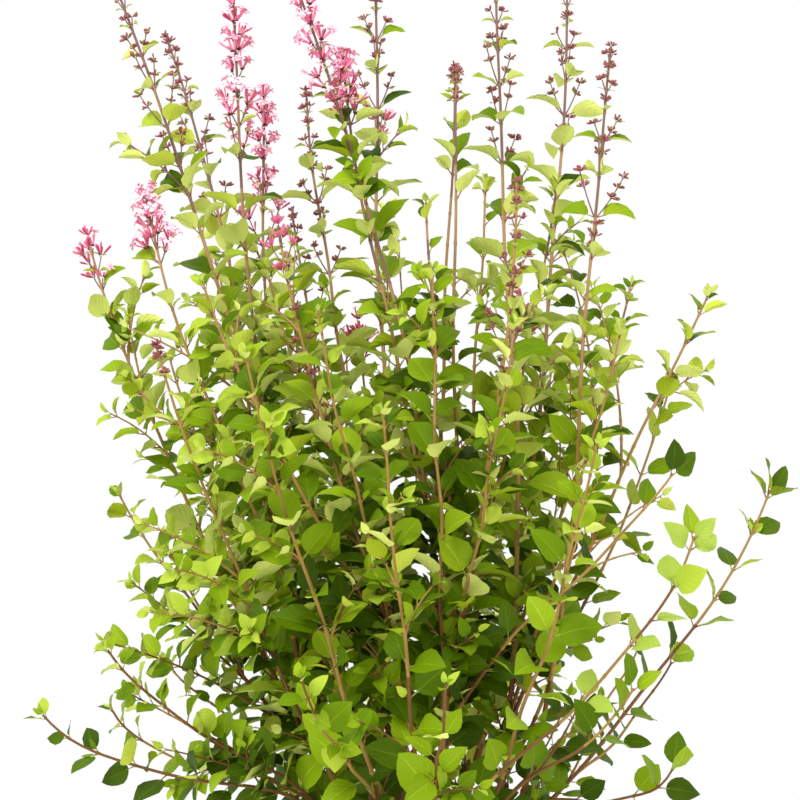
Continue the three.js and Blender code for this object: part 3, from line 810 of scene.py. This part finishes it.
def addLeaf(bank, limb, along, turn, lean, length, spray):
    # one leaf on the limb, if it has room there: turned to the light, bent, sized and tinted
    root, direction, side, face = limb.stand(along, turn, lean)
    middle = root + direction * length * dress["leafMiddle"]
    if not grows(along, middle):
        return
    high = clamp((middle.z - dress["highFrom"]) / dress["highOver"])
    pull = between(dress["lightPullLow"], dress["lightPullHigh"], high)
    pull *= chance.uniform(*dress["lightSpread"])
    lone = limb.name in airyShoots and high < alone["below"]
    if lone:
        pull, length = alone["pull"], length * alone["growth"]
    side, face = towardsLight(middle, direction, face, pull, (chance.random() - 0.5) * dress["roll"])
    slender = min(1, leaf["slimHigh"] * high + max(0.0, 1 - length / leaf["slimBelow"]))
    width = length * between(leaf["broad"], leaf["narrow"], slender) * chance.uniform(*leaf["widthSpread"])
    top, under = leafTones(middle, length, spray)
    droop = between(chance.uniform(*dress["droopLow"]), chance.uniform(*dress["droopHigh"]), high)
    fold = between(chance.uniform(*dress["foldLow"]), chance.uniform(*dress["foldHigh"]), high)
    if lone:
        droop, fold = droop * alone["flatness"], fold * alone["flatness"]
        top, under = top + alone["top"], under + alone["under"]
    twist = chance.uniform(-dress["curl"], dress["curl"])
    wave, phase = chance.uniform(*dress["wave"]), chance.uniform(*dress["wavePhase"])
    petiole = leaf["petiole"] * (length / leaf["longest"]) ** leaf["petioleGrowth"]
    red = chance.random() < leaf["redLow"] + leaf["redHigh"] * high
    sizes = [length, width, droop, fold, twist, wave, phase, petiole]
    bank.add((root, direction, side, face), sizes, top, under, red)
    if limb.name == sage["shoot"] and middle.x > sage["from"] and chance.random() < sage["share"]:
        bank.tops[-1] = len(leafTops) - 1


def addPair(bank, limb, along, turn, length, spray, lean):
    for side in (0, math.pi):
        leanHere = lean + (chance.random() - 0.5) * dress["leanJitter"]
        aside = turn + side + (chance.random() - 0.5) * dress["turnJitter"]
        addLeaf(bank, limb, along, aside, leanHere, length * chance.uniform(*dress["pairSpread"]), spray)


def addTwig(shoot, along, tip, radius):
    # a leafy side twig from the shoot to that tip, curving up out of the shoot's own line
    bank = banks[shoot.ring]
    foot = shoot.point(along)
    span = tip - foot
    leave = (span.normalized() + shoot.tangent(along) * sideTwig["leave"]).normalized()
    bend = foot + leave * span.length * sideTwig["handle"]
    twig = Limb(shoot.name, (foot, bend, tip), radius, sideTwig["tip"])
    turn, place = sideTwig["firstTurn"], sideTwig["firstLeaf"] / twig.length
    while place < 1 - sideTwig["belowTip"] / twig.length:
        twig.nodes.append(place)
        fresh = min(1, (1 - place) * twig.length / sideTwig["growsOver"])
        length, lean = between(*sideTwig["leaf"], fresh), between(*sideTwig["lean"], fresh)
        addPair(bank, twig, place, turn, length, shoot.spray, lean)
        turn += turnQuarter
        internode = between(*sideTwig["internode"], fresh) * chance.uniform(*sideTwig["internodeSpread"])
        place += internode / twig.length
    spray = shoot.spray + dress["younger"]
    addPair(bank, twig, sideTwig["endAlong"], turn, sideTwig["endPair"], spray, sideTwig["endLean"])
    limbStrand(woods[shoot.ring], twig, dress["limbStep"])


def twigTip(shoot, along, turn, length):
    root, direction, side, face = shoot.stand(along, turn, growth["twigSpread"])
    return shoot.point(along) + direction * length + up * length * growth["twigRise"]


def sourceTwigs(shoot):
    # the twigs that the solids' rule draws on this shoot: where, which way and the seed of their length
    steps = max(2, math.floor(shoot.length / growth["nodeSpacing"] + 0.5))
    ends = growth["leafyEnd"] * growth["nodeSpacing"]
    if shoot.ends in panicles:
        ends = panicles[shoot.ends]["sourceLength"]
    turn = growth["firstTurn"] + (turnQuarter if shoot.draw() < 0.5 else 0)
    shoot.firstTurn = turn
    along = growth["firstNode"] / steps
    twigs = []
    while along < 1 - ends / shoot.length:
        for unused in range(growth["drawsPerNode"]):
            shoot.draw()
        turn += turnQuarter
        twigSeed = math.floor(shoot.draw() * 1e6)
        if growth["twigLowest"] < along < growth["twigHighest"] and shoot.draw() < growth["twigChance"]:
            twigs.append((along, turn, twigSeed))
        along += 1 / steps
    return twigs


# each tier of a panicle: its distance below the tip, the length of its side branches and of its leaves
panicles = {
    "open": {
        "sourceLength": 150,
        "tiers": ((152, 34, 36), (118, 24, 17), (92, 8, 9), (72, 8, 7), (54, 8, 6), (37, 7, 0), (20, 5, 0)),
    },
    "plume": {"sourceLength": 150, "tiers": ((62, 22, 30), (48, 12, 8), (36, 9, 0), (24, 8, 0), (13, 6, 0))},
    "rose": {"sourceLength": 50, "tiers": ((56, 14, 28), (38, 16, 12), (19, 5, 5))},
    "tip": {"sourceLength": 96, "tiers": ((30, 3, 14), (14, 3, 10), (5, 2, 7))},
    "bud": {
        "sourceLength": 96,
        "tiers": (
            (202, 28, 40), (162, 36, 36), (124, 30, 32), (90, 20, 26), (62, 10, 14), (42, 8, 7), (25, 6, 5),
            (11, 4, 0)),
    },
}


def nodeLeaf(shoot, toTip):
    # a leaf's length at that distance from the shoot's tip
    if shoot.name == fine["shoot"]:
        return between(*fine["leaf"], min(1, toTip / fine["growsOver"]))
    if shoot.name in airyShoots:
        return alone["leaf"]
    return between(leaf["young"], leaf["longest"], min(1, toTip / leaf["growsOver"]) ** leaf["growth"])


def addFineTwig(shoot, along, turn, toTip):
    # a twig of the scene's own, kept within the crown's outline
    length = chance.uniform(*dress["fineTwig"])
    if chance.random() < dress["branchChance"]:
        length *= dress["branchGrowth"]
    aside = turn + math.pi * chance.randint(0, 1)
    tip = twigTip(shoot, along, aside, min(toTip * dress["twigMost"], length))
    if tip.z < dress["slimAbove"] or math.hypot(tip.x, tip.y) < dress["slimReach"]:
        addTwig(shoot, along, tip, sideTwig["fine"])


def dressShoot(shoot):
    # leaf pairs up the shoot, each a quarter turn on, and twigs; all its leaves share a little of their tone
    bank = banks[shoot.ring]
    shoot.spray = chance.uniform(-dress["sprayTone"], dress["sprayTone"])
    twigs = sourceTwigs(shoot)
    airy = shoot.name in airyShoots
    bare = dress["belowTip"]
    if shoot.ends in panicles:
        bare = panicles[shoot.ends]["tiers"][0][0] + dress["belowPanicle"]
    turn, along = shoot.firstTurn, dress["firstLeaf"] / shoot.length
    while along < 1 - bare / shoot.length:
        shoot.nodes.append(along)
        toTip = (1 - along) * shoot.length
        height = min(1, shoot.point(along).z / dress["tall"])
        lean = between(dress["leanLow"], dress["leanHigh"], height)
        addPair(bank, shoot, along, turn, nodeLeaf(shoot, toTip), shoot.spray, lean)
        if chance.random() < dress["axilChance"]:
            size, spray = chance.uniform(*dress["axilLeaf"]), shoot.spray + dress["younger"]
            addPair(bank, shoot, along, turn + dress["axilTurn"], size, spray, dress["axilLean"])
        twigChance = between(dress["twigChanceLow"], dress["twigChanceHigh"], height)
        if airy:
            twigChance *= dress["airyTwigs"]
        if toTip > dress["twigClear"] and chance.random() < twigChance:
            addFineTwig(shoot, along, turn, toTip)
        turn += turnQuarter
        internode = between(dress["internodeLow"], dress["internodeHigh"], height)
        if not airy:
            internode *= between(dress["closerTo"], 1, min(1, toTip / dress["closerOver"]))
        along += internode * chance.uniform(*dress["internodeSpread"]) / shoot.length
    for place, twigTurn, twigSeed in twigs:
        length = between(growth["twigShortest"], growth["twigLongest"], seededRandom(twigSeed)())
        addTwig(shoot, place, twigTip(shoot, place, twigTurn, length), sideTwig["source"])
    for place, tip in ownBranches.get(shoot.name, ()):
        addTwig(shoot, place, Vector(tip), sideTwig["branch"])
    shoot.lastTurn = turn
    if shoot.ends != "leaf":
        return
    if airy and shoot.name != fine["shoot"]:
        size = alone["endPair"] * alone["leaf"]
        addPair(bank, shoot, alone["endAlong"], turn, size, shoot.spray, alone["endLean"])
        return
    for place, size, quarters, tone, lean in endPairs:
        turned = turn + quarters * turnQuarter
        addPair(bank, shoot, place, turned, leaf["young"] * size, shoot.spray + tone, lean)


def dressStem(stem):
    # a few small leaves on the stem below its fork
    for number, along in enumerate(dress["stemNodes"]):
        if chance.random() < dress["stemChance"]:
            turn, size = number * turnQuarter, chance.uniform(*dress["stemLeaf"])
            addPair(banks[stem.ring], stem, along, turn, size, dress["stemTone"], dress["stemLean"])


for shoot in shoots:
    dressShoot(shoot)
for stem in stems:
    dressStem(stem)
print("dressed the shoots with", sum(len(bank.rows) for bank in banks.values()), "leaves")


# florets, buds and their stalks
flower = {
    "seed": 5, "sides": 6, "tube": 15.5, "foot": 0.78, "mouth": 1.3,
    "petal": 5.0, "petalWide": 1.7, "petalRise": 0.5, "petalDroop": 0.1, "petalInset": 0.6,
    "openShare": 0.6, "roseShare": 0.1, "fan": 0.86, "fullness": 1.25, "spread": 2.5,
    "size": (0.85, 1.1), "length": (0.78, 1.08), "closedWidth": 1.6, "closedLength": (8, 14), "spin": (0, 6),
}
# rings up a floret's tube: height as a share of it, radius as a share of its foot, and the tint below
floretRings = ((0.08, 1.9, 2), (0.15, 1, 2), (0.85, 1.15, 0))
bud = {
    "sides": 5, "rows": 4, "foot": 0.42, "belly": 0.75, "club": 1.5, "calyx": 0.25,
    "fan": 1.3, "spread": (0.3, 2.2), "width": (0.9, 1.35), "length": (3.2, 5.6), "more": 5, "larger": 1.25,
}
# a side branch of a panicle, and the cluster at the panicle's tip
branchlet = {
    "length": (0.7, 1.15), "lean": (0.4, 0.65), "lift": 0.22, "bend": 0.55, "radius": 0.8, "tip": 0.55,
    "roundness": 1, "step": 6, "swelling": 0.4, "nodeReach": 2.0,
    "clusterEvery": 11, "tipCount": (4, 6), "nodeCount": (2, 4), "clusterSize": (0.9, 1.15),
    "bractFrom": 12, "bractAlong": 0.98, "bractLean": 0.8, "bract": (4, 8), "bractTone": 0.25,
    "leafLean": 1.05, "topCount": 6, "topSize": 0.95,
}


def floretModel():
    # an open floret standing along +Z, closed underneath: tint 0 tube, 1 the four petals, 2 calyx
    bm = bmesh.new()
    sides, foot, mouth, tube, petal = [flower[size] for size in ("sides", "foot", "mouth", "tube", "petal")]
    ring = bmesh.ops.create_circle(bm, cap_ends=True, segments=sides, radius=foot)["verts"]
    edges = list({edge for vert in ring for edge in vert.link_edges})
    for face in bm.faces:
        face.material_index = 2
    rows = [(share, foot * wider, tint) for share, wider, tint in floretRings]
    for share, radius, tint in rows + [(1.0, mouth, 0)]:
        edges, fresh = extrudeRing(bm, edges, tint)
        for vert in fresh:
            flat = vert.co.xy.normalized() * radius
            vert.co = (flat.x, flat.y, share * tube)
    bmesh.ops.holes_fill(bm, edges=edges)
    for face in bm.faces:
        face.smooth = True
    droop = Matrix.Rotation(flower["petalDroop"], 3, "Y")
    outward = (mouth * flower["petalInset"] + petal / 2, 0, tube)
    for quarter in range(4):
        blade = bmesh.ops.create_cone(
            bm, cap_ends=True, segments=sides, radius1=1, radius2=0, depth=flower["petalRise"])["verts"]
        for face in {face for vert in blade for face in vert.link_faces}:
            face.material_index = 1
        around = Matrix.Rotation((quarter + 0.5) * turnQuarter, 3, "Z")
        bmesh.ops.scale(bm, vec=(petal / 2, flower["petalWide"], 1), verts=blade)
        bmesh.ops.rotate(bm, cent=(0, 0, 0), matrix=droop, verts=blade)
        bmesh.ops.translate(bm, vec=outward, verts=blade)
        bmesh.ops.rotate(bm, cent=(0, 0, 0), matrix=around, verts=blade)
    bmesh.ops.recalc_face_normals(bm, faces=bm.faces[:])
    model = arraysOf(bm)
    bm.free()
    return model


def extrudeRing(bm, edges, tint):
    # pulls a new row of faces from the edges: gives its far edges and its new vertices
    made = bmesh.ops.extrude_edge_only(bm, edges=edges)["geom"]
    fresh = [item for item in made if isinstance(item, bmesh.types.BMVert)]
    for item in made:
        if isinstance(item, bmesh.types.BMFace):
            item.material_index = tint
    far = [item for item in made if isinstance(item, bmesh.types.BMEdge)]
    return [edge for edge in far if edge.verts[0] in fresh and edge.verts[1] in fresh], fresh


def budModel():
    # a closed bud along +Z, thin at its foot and club-shaped above
    bm = bmesh.new()
    bmesh.ops.create_uvsphere(bm, u_segments=bud["sides"], v_segments=bud["rows"], radius=1)
    for vert in bm.verts:
        height = (vert.co.z + 1) / 2
        fullness = bud["foot"] + bud["belly"] * height ** bud["club"]
        vert.co = (vert.co.x * fullness, vert.co.y * fullness, height)
    for face in bm.faces:
        face.material_index = 1 if face.calc_center_median().z < bud["calyx"] else 0
        face.smooth = True
    model = arraysOf(bm)
    bm.free()
    return model


class FlowerBank:
    # rigid copies of one small flower model, each with a place, a size and a tint for each of its parts
    def __init__(self):
        self.places, self.tints = [], []

    def add(self, root, direction, wide, long, spin, tints):
        turn = direction.to_track_quat("Z", "Y").to_matrix() @ Matrix.Rotation(spin, 3, "Z")
        self.places.append((root, turn @ Matrix.Diagonal((wide, wide, long))))
        self.tints.append([petalIndex[tint] for tint in tints])

    def piece(self, name, model, materials):
        roots = np.array([root[:] for root, turn in self.places])[:, None, :]
        turns = np.array([[row[:] for row in turn] for root, turn in self.places])
        points = np.einsum("nij,vj->nvi", turns, model["points"]) + roots
        dealt = np.array(self.tints)[:, model["tint"]]
        return joinCopies(name, [(model, points, dealt)], materials)


florets, buds = FlowerBank(), FlowerBank()
petalIndex = {name: number for number, name in enumerate(petalTints)}
luck = random.Random(flower["seed"])
stalkStrands = []


def fanned(direction, most):
    # a direction turned away from the given one by up to that angle
    around = Matrix.Rotation(luck.uniform(0, 2 * math.pi), 3, direction)
    sideways = around @ direction.orthogonal().normalized()
    angle = most * math.sqrt(luck.random())
    return (direction * math.cos(angle) + sideways * math.sin(angle)).normalized()


def floretCluster(at, direction, count, openShare, size):
    for unused in range(count):
        way = fanned(direction, flower["fan"])
        root = at + way * luck.uniform(0, flower["spread"])
        spin, scale = luck.uniform(*flower["spin"]), size * luck.uniform(*flower["size"])
        if luck.random() < openShare:
            tube = luck.choice(("tubePink", "tubePink", "tubeRose"))
            petal = luck.choice(("petalPale", "petalPale", "petalPink", "petalRose"))
            long = scale * luck.uniform(*flower["length"])
            florets.add(root, way, scale, long, spin, (tube, petal, "sepalDark"))
        else:
            tube = luck.choice(("tubeRose", "tubeRose", "tubeDeep"))
            long = scale * luck.uniform(*flower["closedLength"])
            buds.add(root, way, scale * flower["closedWidth"], long, spin, (tube, "sepalDark"))


def budCluster(at, direction, count, size):
    for unused in range(count):
        way = fanned(direction, bud["fan"])
        tint = luck.choice(("budMaroon", "budWine", "budBrown", "budRusset"))
        root = at + way * luck.uniform(*bud["spread"])
        wide, long = size * luck.uniform(*bud["width"]), size * luck.uniform(*bud["length"])
        buds.add(root, way, wide, long, luck.uniform(*flower["spin"]), (tint, "sepalDark"))


def clusterAt(at, heading, kindName, count, size):
    # budded panicles and tips carry buds; open and rose ones florets, mixed with closed ones
    if kindName in ("bud", "tip"):
        budCluster(at, heading, count + bud["more"], size * bud["larger"])
    else:
        share = flower["roseShare" if kindName == "rose" else "openShare"]
        floretCluster(at, heading, round(count * flower["fullness"]), share, size)


def sprig(bank, shoot, along, turn, length, kindName):
    # one side branch of a panicle: flower clusters and tiny bracts at its nodes and at its tip
    root, direction, side, face = shoot.stand(along, turn, luck.uniform(*branchlet["lean"]))
    tip = root + direction * length + up * length * branchlet["lift"]
    bend = root + direction * length * branchlet["bend"]
    limb = Limb(shoot.name, (root, bend, tip), branchlet["radius"], branchlet["tip"])
    nodes = max(1, round(length / branchlet["clusterEvery"]))
    for number in range(nodes):
        place = (number + 1) / nodes
        if nodes > 2 and number == 0:
            continue
        at, heading = limb.point(place), limb.tangent(place)
        count = luck.randint(*branchlet["tipCount" if place == 1 else "nodeCount"])
        clusterAt(at, heading, kindName, count, luck.uniform(*branchlet["clusterSize"]))
        if length > branchlet["bractFrom"]:
            below = place * branchlet["bractAlong"]
            limb.nodes.append(below)
            for half in (0, math.pi):
                aside, size = number * turnQuarter + half, luck.uniform(*branchlet["bract"])
                addLeaf(bank, limb, below, aside, branchlet["bractLean"], size, branchlet["bractTone"])
    limbStrand(stalkStrands, limb, branchlet["step"], branchlet["swelling"], branchlet["nodeReach"])


# blossoms in the leaf axils below a shoot's own panicle: distance from its tip, bearing, length and kind
strayBlooms = {
    "inner 2 shoot 1": ((205, 4.6, 26, "rose"),),
    "inner 1 shoot 2": ((145, 4.7, 24, "rose"),),
    "middle 6 shoot 1": (
        (92, 0.2, 9, "bud"), (92, 3.3, 9, "bud"), (124, 1.7, 11, "bud"), (124, 4.9, 11, "bud"),
        (158, 0.3, 12, "bud"), (158, 3.5, 12, "bud"), (190, 4.7, 10, "bud"),
    ),
}


def growPanicle(shoot):
    # tiers of leaves and side branches, each a quarter turn on, and a cluster at the tip
    bank, turn = banks[shoot.ring], shoot.lastTurn
    for below, length, leafLength in panicles[shoot.ends]["tiers"]:
        along = 1 - below / shoot.length
        shoot.nodes.append(along)
        if leafLength:
            addPair(bank, shoot, along, turn, leafLength, shoot.spray, branchlet["leafLean"])
        for half in (0, math.pi):
            sprig(bank, shoot, along, turn + half, length * luck.uniform(*branchlet["length"]), shoot.ends)
        turn += turnQuarter
    clusterAt(shoot.point(1), shoot.tangent(1), shoot.ends, branchlet["topCount"], branchlet["topSize"])


for shoot in shoots:
    if shoot.ends in panicles:
        growPanicle(shoot)
    for below, turn, length, kindName in strayBlooms.get(shoot.name, ()):
        sprig(banks[shoot.ring], shoot, 1 - below / shoot.length, turn, length, kindName)
print("grew", len(florets.places), "florets and", len(buds.places), "buds")

# the shoots' wood changes tint at these heights in millimetres, moved up and down in patches
shootWood = {"roundness": 2, "patch": 0.012, "patchReach": 260, "bands": (300, 640, 820)}


def dealBark(mesh):
    # gives each face of the shoots its tint, by height
    count = len(mesh.polygons)
    centres = np.zeros(count * 3)
    mesh.polygons.foreach_get("center", centres)
    centres = centres.reshape(-1, 3) / mm
    patch = np.array([noise.noise(Vector(centre) * shootWood["patch"]) for centre in centres])
    height = centres[:, 2] + patch * shootWood["patchReach"]
    tint = np.searchsorted(shootWood["bands"], height, side="right")
    mesh.polygons.foreach_set("material_index", tint.astype(np.int32))


fullLeaf = leafModel(leaf["rows"], leaf["tops"], leaf["unders"], leaf["stalkSides"])
lightLeaf = leafModel(leaf["fewRows"], leaf["fewColumns"], leaf["fewColumns"], leaf["fewStalkSides"])
for ring in rings:
    name = ring["name"]
    masses = [f"foliage_{name}_{number:02d}" for number in range(1, ring["stems"] + 1)]
    leaves = banks[name].piece(f"leaves_{name}", fullLeaf, lightLeaf)
    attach(leaves, "root")
    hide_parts(*masses)
    for shoot in shoots:
        if shoot.ring == name:
            limbStrand(woods[name], shoot, dress["limbStep"])
            swellFoot(shoot, *woods[name][-1])
    mesh = strandMesh(f"shoots_{name}", woods[name], shootWood["roundness"])
    dealBark(mesh)
    wood = meshObject(f"shoots_{name}", mesh, shootBarks)
    mesh.shade_smooth()
    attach(wood, "root")
    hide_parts(*masses)
    print(f"{name}: {len(leaves.data.polygons)} leaf faces, {len(mesh.polygons)} shoot faces")

# the flowers and their stalks
masses = [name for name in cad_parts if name.startswith("foliage_")]
for piece in (florets.piece("florets", floretModel(), petals), buds.piece("buds", budModel(), petals)):
    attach(piece, "root")
    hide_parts(*masses)
mesh = strandMesh("panicle_stalks", stalkStrands, branchlet["roundness"])
stalks = meshObject("panicle_stalks", mesh, shootBarks[-1:])
mesh.shade_smooth()
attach(stalks, "root")
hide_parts(*masses)
print("joined the flowers")


# stems and root crown, with the bark's relief
bark = {
    "step": 2.5, "roundness": 6, "nodes": [0.26, 0.5, 0.74], "swelling": 0.14, "nodeReach": 5,
    "ridge": 0.5, "stretch": 0.12, "grain": 0.55, "finer": 2.3, "finerShare": 0.5,
    "taper": 0.3, "taperFrom": 0.86, "butt": 0.85, "buttReach": 0.38, "tuck": 0.4, "tuckReach": 0.3,
}
rootCrown = {
    "steps": 220, "cuts": 5, "flare": 60, "neck": 47, "neckHeight": 26, "height": 55,
    "roots": 9, "rootJitter": 0.3, "rootSize": (0.5, 1),
    "rootReach": 0.42, "rootWidth": 0.24, "rootRise": 2.4, "hollow": 0.12,
    "grainAround": 50, "grainDown": 0.3, "ridges": ((1, 0.13), (0.6, 0.31), (0.3, 0.62)),
    "furrow": 3.4, "crack": 8.0, "crackGrain": 0.2, "crackWidth": 0.16, "crackShift": (9, 4, 2),
    "knob": 6.0, "knobGrain": 0.055, "sink": 2.0, "reliefFrom": 8,
    "foot": 0.14, "collar": 8.0, "collarReach": 17,
    "lip": 3.8, "lipLow": 27, "lipHigh": 55, "lipFade": 0.8, "lipSink": 8, "blend": 0.5, "wrapFrom": 12,
}
stemStrands = []


def relief(place):
    # ridges that run up the wood: noise stretched along its length
    point = Vector((place.x, place.y, place.z * bark["stretch"])) * bark["grain"]
    return noise.noise(point) + bark["finerShare"] * noise.noise(point * bark["finer"])


def shapeButt(points, radii):
    # a stem's foot thickens and stands more upright; its top narrows into the fork
    count = len(points) - 1
    for number in range(count + 1):
        share = number / count
        radii[number] *= 1 - bark["taper"] * max(0.0, (share - bark["taperFrom"]) / (1 - bark["taperFrom"]))
        radii[number] *= 1 + bark["butt"] * max(0.0, 1 - share / bark["buttReach"]) ** 2
        tuck = bark["tuck"] * max(0.0, 1 - share / bark["tuckReach"]) ** 2
        points[number] = points[number] * (1 - tuck) + up * points[number].z * tuck


def buildStems():
    # a tube for each stem, its bark raised by the relief
    for stem in stems:
        stem.nodes = bark["nodes"]
        limbStrand(stemStrands, stem, bark["step"], bark["swelling"], bark["nodeReach"])
        shapeButt(*stemStrands[-1])
    mesh = strandMesh("stems", stemStrands, bark["roundness"])
    bm = bmesh.new()
    bm.from_mesh(mesh)
    bm.normal_update()
    for vert in bm.verts:
        vert.co += vert.normal * relief(vert.co / mm) * bark["ridge"] * mm
    bm.to_mesh(mesh)
    bm.free()
    mesh.shade_smooth()
    return meshObject("stems", mesh, [barkSurface("stemBark", stemLook)])


def rootFlare(around, low, roots):
    # how far the roots push the foot of the crown out, and the hollows between them pull it in
    most = 0.0
    for bearing, reach in roots:
        away = math.remainder(around - bearing, 2 * math.pi) / rootCrown["rootWidth"]
        most = max(most, reach * math.exp(-away * away))
    return 1 + (most * rootCrown["rootReach"] - rootCrown["hollow"]) * low ** rootCrown["rootRise"]


def wrapFeet(places):
    # how far out the crown reaches at each of these places, so that its bark wraps the stems' feet
    reach = np.hypot(places[:, 0], places[:, 1])
    ahead = places[:, :2] / np.maximum(reach, 1e-6)[:, None]
    height, blend = places[:, 2], rootCrown["blend"]
    fade = (rootCrown["lipHigh"] - height) / (rootCrown["lipHigh"] - rootCrown["lipLow"])
    fade = np.clip(fade, 0, 1) ** rootCrown["lipFade"]
    total = np.exp(reach * blend)
    for points, radii in stemStrands:
        axis = np.array(points)
        x, y, radius = [np.interp(height, axis[:, 2], values) for values in (axis[:, 0], axis[:, 1], radii)]
        along, aside = x * ahead[:, 0] + y * ahead[:, 1], y * ahead[:, 0] - x * ahead[:, 1]
        wide = (radius + rootCrown["lip"]) * fade
        bulge = along + wide * np.exp(-(aside / np.maximum(wide, 1e-6)) ** 2)
        total += np.where(height > axis[0, 2] - rootCrown["lipSink"], np.exp(bulge * blend) * fade, 0)
    return np.log(total) / blend


def crownBody():
    # the plain crown: its outline from the middle of the flat cut to the top, spun round
    flare, neck, low, high = [rootCrown[size] for size in ("flare", "neck", "neckHeight", "height")]
    profile = [
        (0, 0), (flare * 0.5, 0), (flare * 0.98, 0), (flare, low * 0.1), (flare * 0.98, low * 0.26),
        (between(flare, neck, 0.4), low * 0.48), (between(flare, neck, 0.75), low * 0.74), (neck, low),
        (neck * 0.96, between(low, high, 0.3)), (neck * 0.88, between(low, high, 0.55)),
        (neck * 0.72, between(low, high, 0.78)), (neck * 0.5, between(low, high, 0.92)),
        (neck * 0.25, between(low, high, 0.99)), (0, high),
    ]
    bm = bmesh.new()
    line = [bm.verts.new((x, 0, z)) for x, z in profile]
    edges = [bm.edges.new(pair) for pair in zip(line, line[1:])]
    bmesh.ops.subdivide_edges(bm, edges=edges, cuts=rootCrown["cuts"])
    bmesh.ops.spin(
        bm, geom=bm.verts[:] + bm.edges[:], cent=(0, 0, 0), axis=(0, 0, 1), angle=2 * math.pi,
        steps=rootCrown["steps"], use_merge=True)
    bmesh.ops.remove_doubles(bm, verts=bm.verts[:], dist=1e-4)
    bmesh.ops.recalc_face_normals(bm, faces=bm.faces[:])
    return bm


def crownRelief(place, around, out, feet):
    # furrows run down the crown and out along the roots, and bark swells round the stems' feet
    wide = rootCrown["grainAround"]
    down = (place.z - out) * rootCrown["grainDown"]
    grain = Vector((math.cos(around) * wide, math.sin(around) * wide, down))
    ridges = sum(share * noise.noise(grain * fine) for share, fine in rootCrown["ridges"])
    crack = noise.noise(grain * rootCrown["crackGrain"] + Vector(rootCrown["crackShift"]))
    crack = max(0.0, rootCrown["crackWidth"] - abs(crack))
    push = ridges * rootCrown["furrow"] - crack * rootCrown["crack"] - rootCrown["sink"]
    push += noise.noise(place * rootCrown["knobGrain"]) * rootCrown["knob"]
    nearest = min((foot - place).length for foot in feet)
    push += max(0.0, 1 - nearest / rootCrown["collarReach"]) * rootCrown["collar"]
    return push * min(1, place.z / rootCrown["reliefFrom"])


def buildRootCrown():
    # the crown wraps the stems' feet, flares into its roots and gets its furrows last
    bm = crownBody()
    count, jitter = rootCrown["roots"], rootCrown["rootJitter"]
    roots = []
    for number in range(count):
        bearing = 2 * math.pi * (number + luck.uniform(-jitter, jitter)) / count
        roots.append((bearing, luck.uniform(*rootCrown["rootSize"])))
    feet = [stem.point(rootCrown["foot"]) for stem in stems]
    reaches = wrapFeet(np.array([vert.co[:] for vert in bm.verts]))
    for vert, reach in zip(bm.verts, reaches):
        place = vert.co.copy()
        around, out = math.atan2(place.y, place.x), place.xy.length
        if out > rootCrown["neck"] / 2:
            place *= between(1, reach / out, min(1, place.z / rootCrown["wrapFrom"]))
            place.z = vert.co.z
        swell = rootFlare(around, 1 - place.z / rootCrown["height"], roots)
        vert.co.x, vert.co.y = place.x * swell, place.y * swell
        if place.z > 0.01:  # the cut at the ground stays flat
            vert.co += vert.normal * crownRelief(place, around, out, feet)
            vert.co.z = max(0.0, vert.co.z)
    mesh = bpy.data.meshes.new("root_crown_bark")
    bmesh.ops.scale(bm, vec=(mm, mm, mm), verts=bm.verts[:])
    bm.to_mesh(mesh)
    bm.free()
    mesh.shade_smooth()
    return meshObject("root_crown_bark", mesh, [barkSurface("crownBark", crownLook)])


stemPiece = buildStems()
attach(stemPiece, "root")
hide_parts(*[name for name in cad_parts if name.startswith("stem_")])
crown = buildRootCrown()
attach(crown, "root")
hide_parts("root_crown")
print("built the stems and the root crown")


# floor, light and camera, in metres
studio = {
    "floorRadius": 0.95, "floorSides": 96, "floorColour": (246, 246, 244),
    "floorRoughness": 0.9, "floorSpecular": 0.1, "skyColour": (255, 255, 255), "sky": 1.0,
    "cameraPlace": (-0.020, -2.300, 0.570), "lens": 103.5, "sensor": 36,
}
# each lamp's place, the height of what it points at, its size and its watts
lamps = {
    "key": ((-1.3, -2.0, 2.6), 0.5, 1.4, 68),
    "fill": ((1.9, -1.7, 1.3), 0.5, 1.6, 10),
    "back": ((0.6, 2.3, 2.2), 0.6, 1.4, 14),
}


def addLight(name, place, aim, size, watts):
    light = bpy.data.lights.new(name, "AREA")
    light.shape, light.size, light.energy = "DISK", size, watts
    lamp = bpy.data.objects.new(name, light)
    lamp.location = place
    lamp.rotation_euler = (Vector((0, 0, aim)) - Vector(place)).to_track_quat("-Z", "Y").to_euler()
    bpy.context.scene.collection.objects.link(lamp)


def addFloor():
    bm = bmesh.new()
    bmesh.ops.create_circle(bm, cap_ends=True, segments=studio["floorSides"], radius=studio["floorRadius"])
    mesh = bpy.data.meshes.new("floor")
    bm.to_mesh(mesh)
    bm.free()
    surface = Surface("floorPaper", studio["floorColour"], studio["floorRoughness"], studio["floorSpecular"])
    meshObject("floor", mesh, [surface.material])


def buildStudio():
    addFloor()
    world = bpy.data.worlds.new("studio")
    bpy.context.scene.world = world
    world.use_nodes = True
    background = world.node_tree.nodes["Background"].inputs
    background["Color"].default_value = paint(studio["skyColour"])
    background["Strength"].default_value = studio["sky"]
    for name, settings in lamps.items():
        addLight(name, *settings)
    camera = bpy.data.objects.new("camera", bpy.data.cameras.new("camera"))
    camera.location = studio["cameraPlace"]
    camera.rotation_euler = (math.pi / 2, 0, 0)
    camera.data.sensor_width = studio["sensor"]
    camera.data.lens = studio["lens"]
    bpy.context.scene.collection.objects.link(camera)
    bpy.context.scene.camera = camera
    bpy.context.scene.view_settings.view_transform = "Standard"


buildStudio()
print("finished")
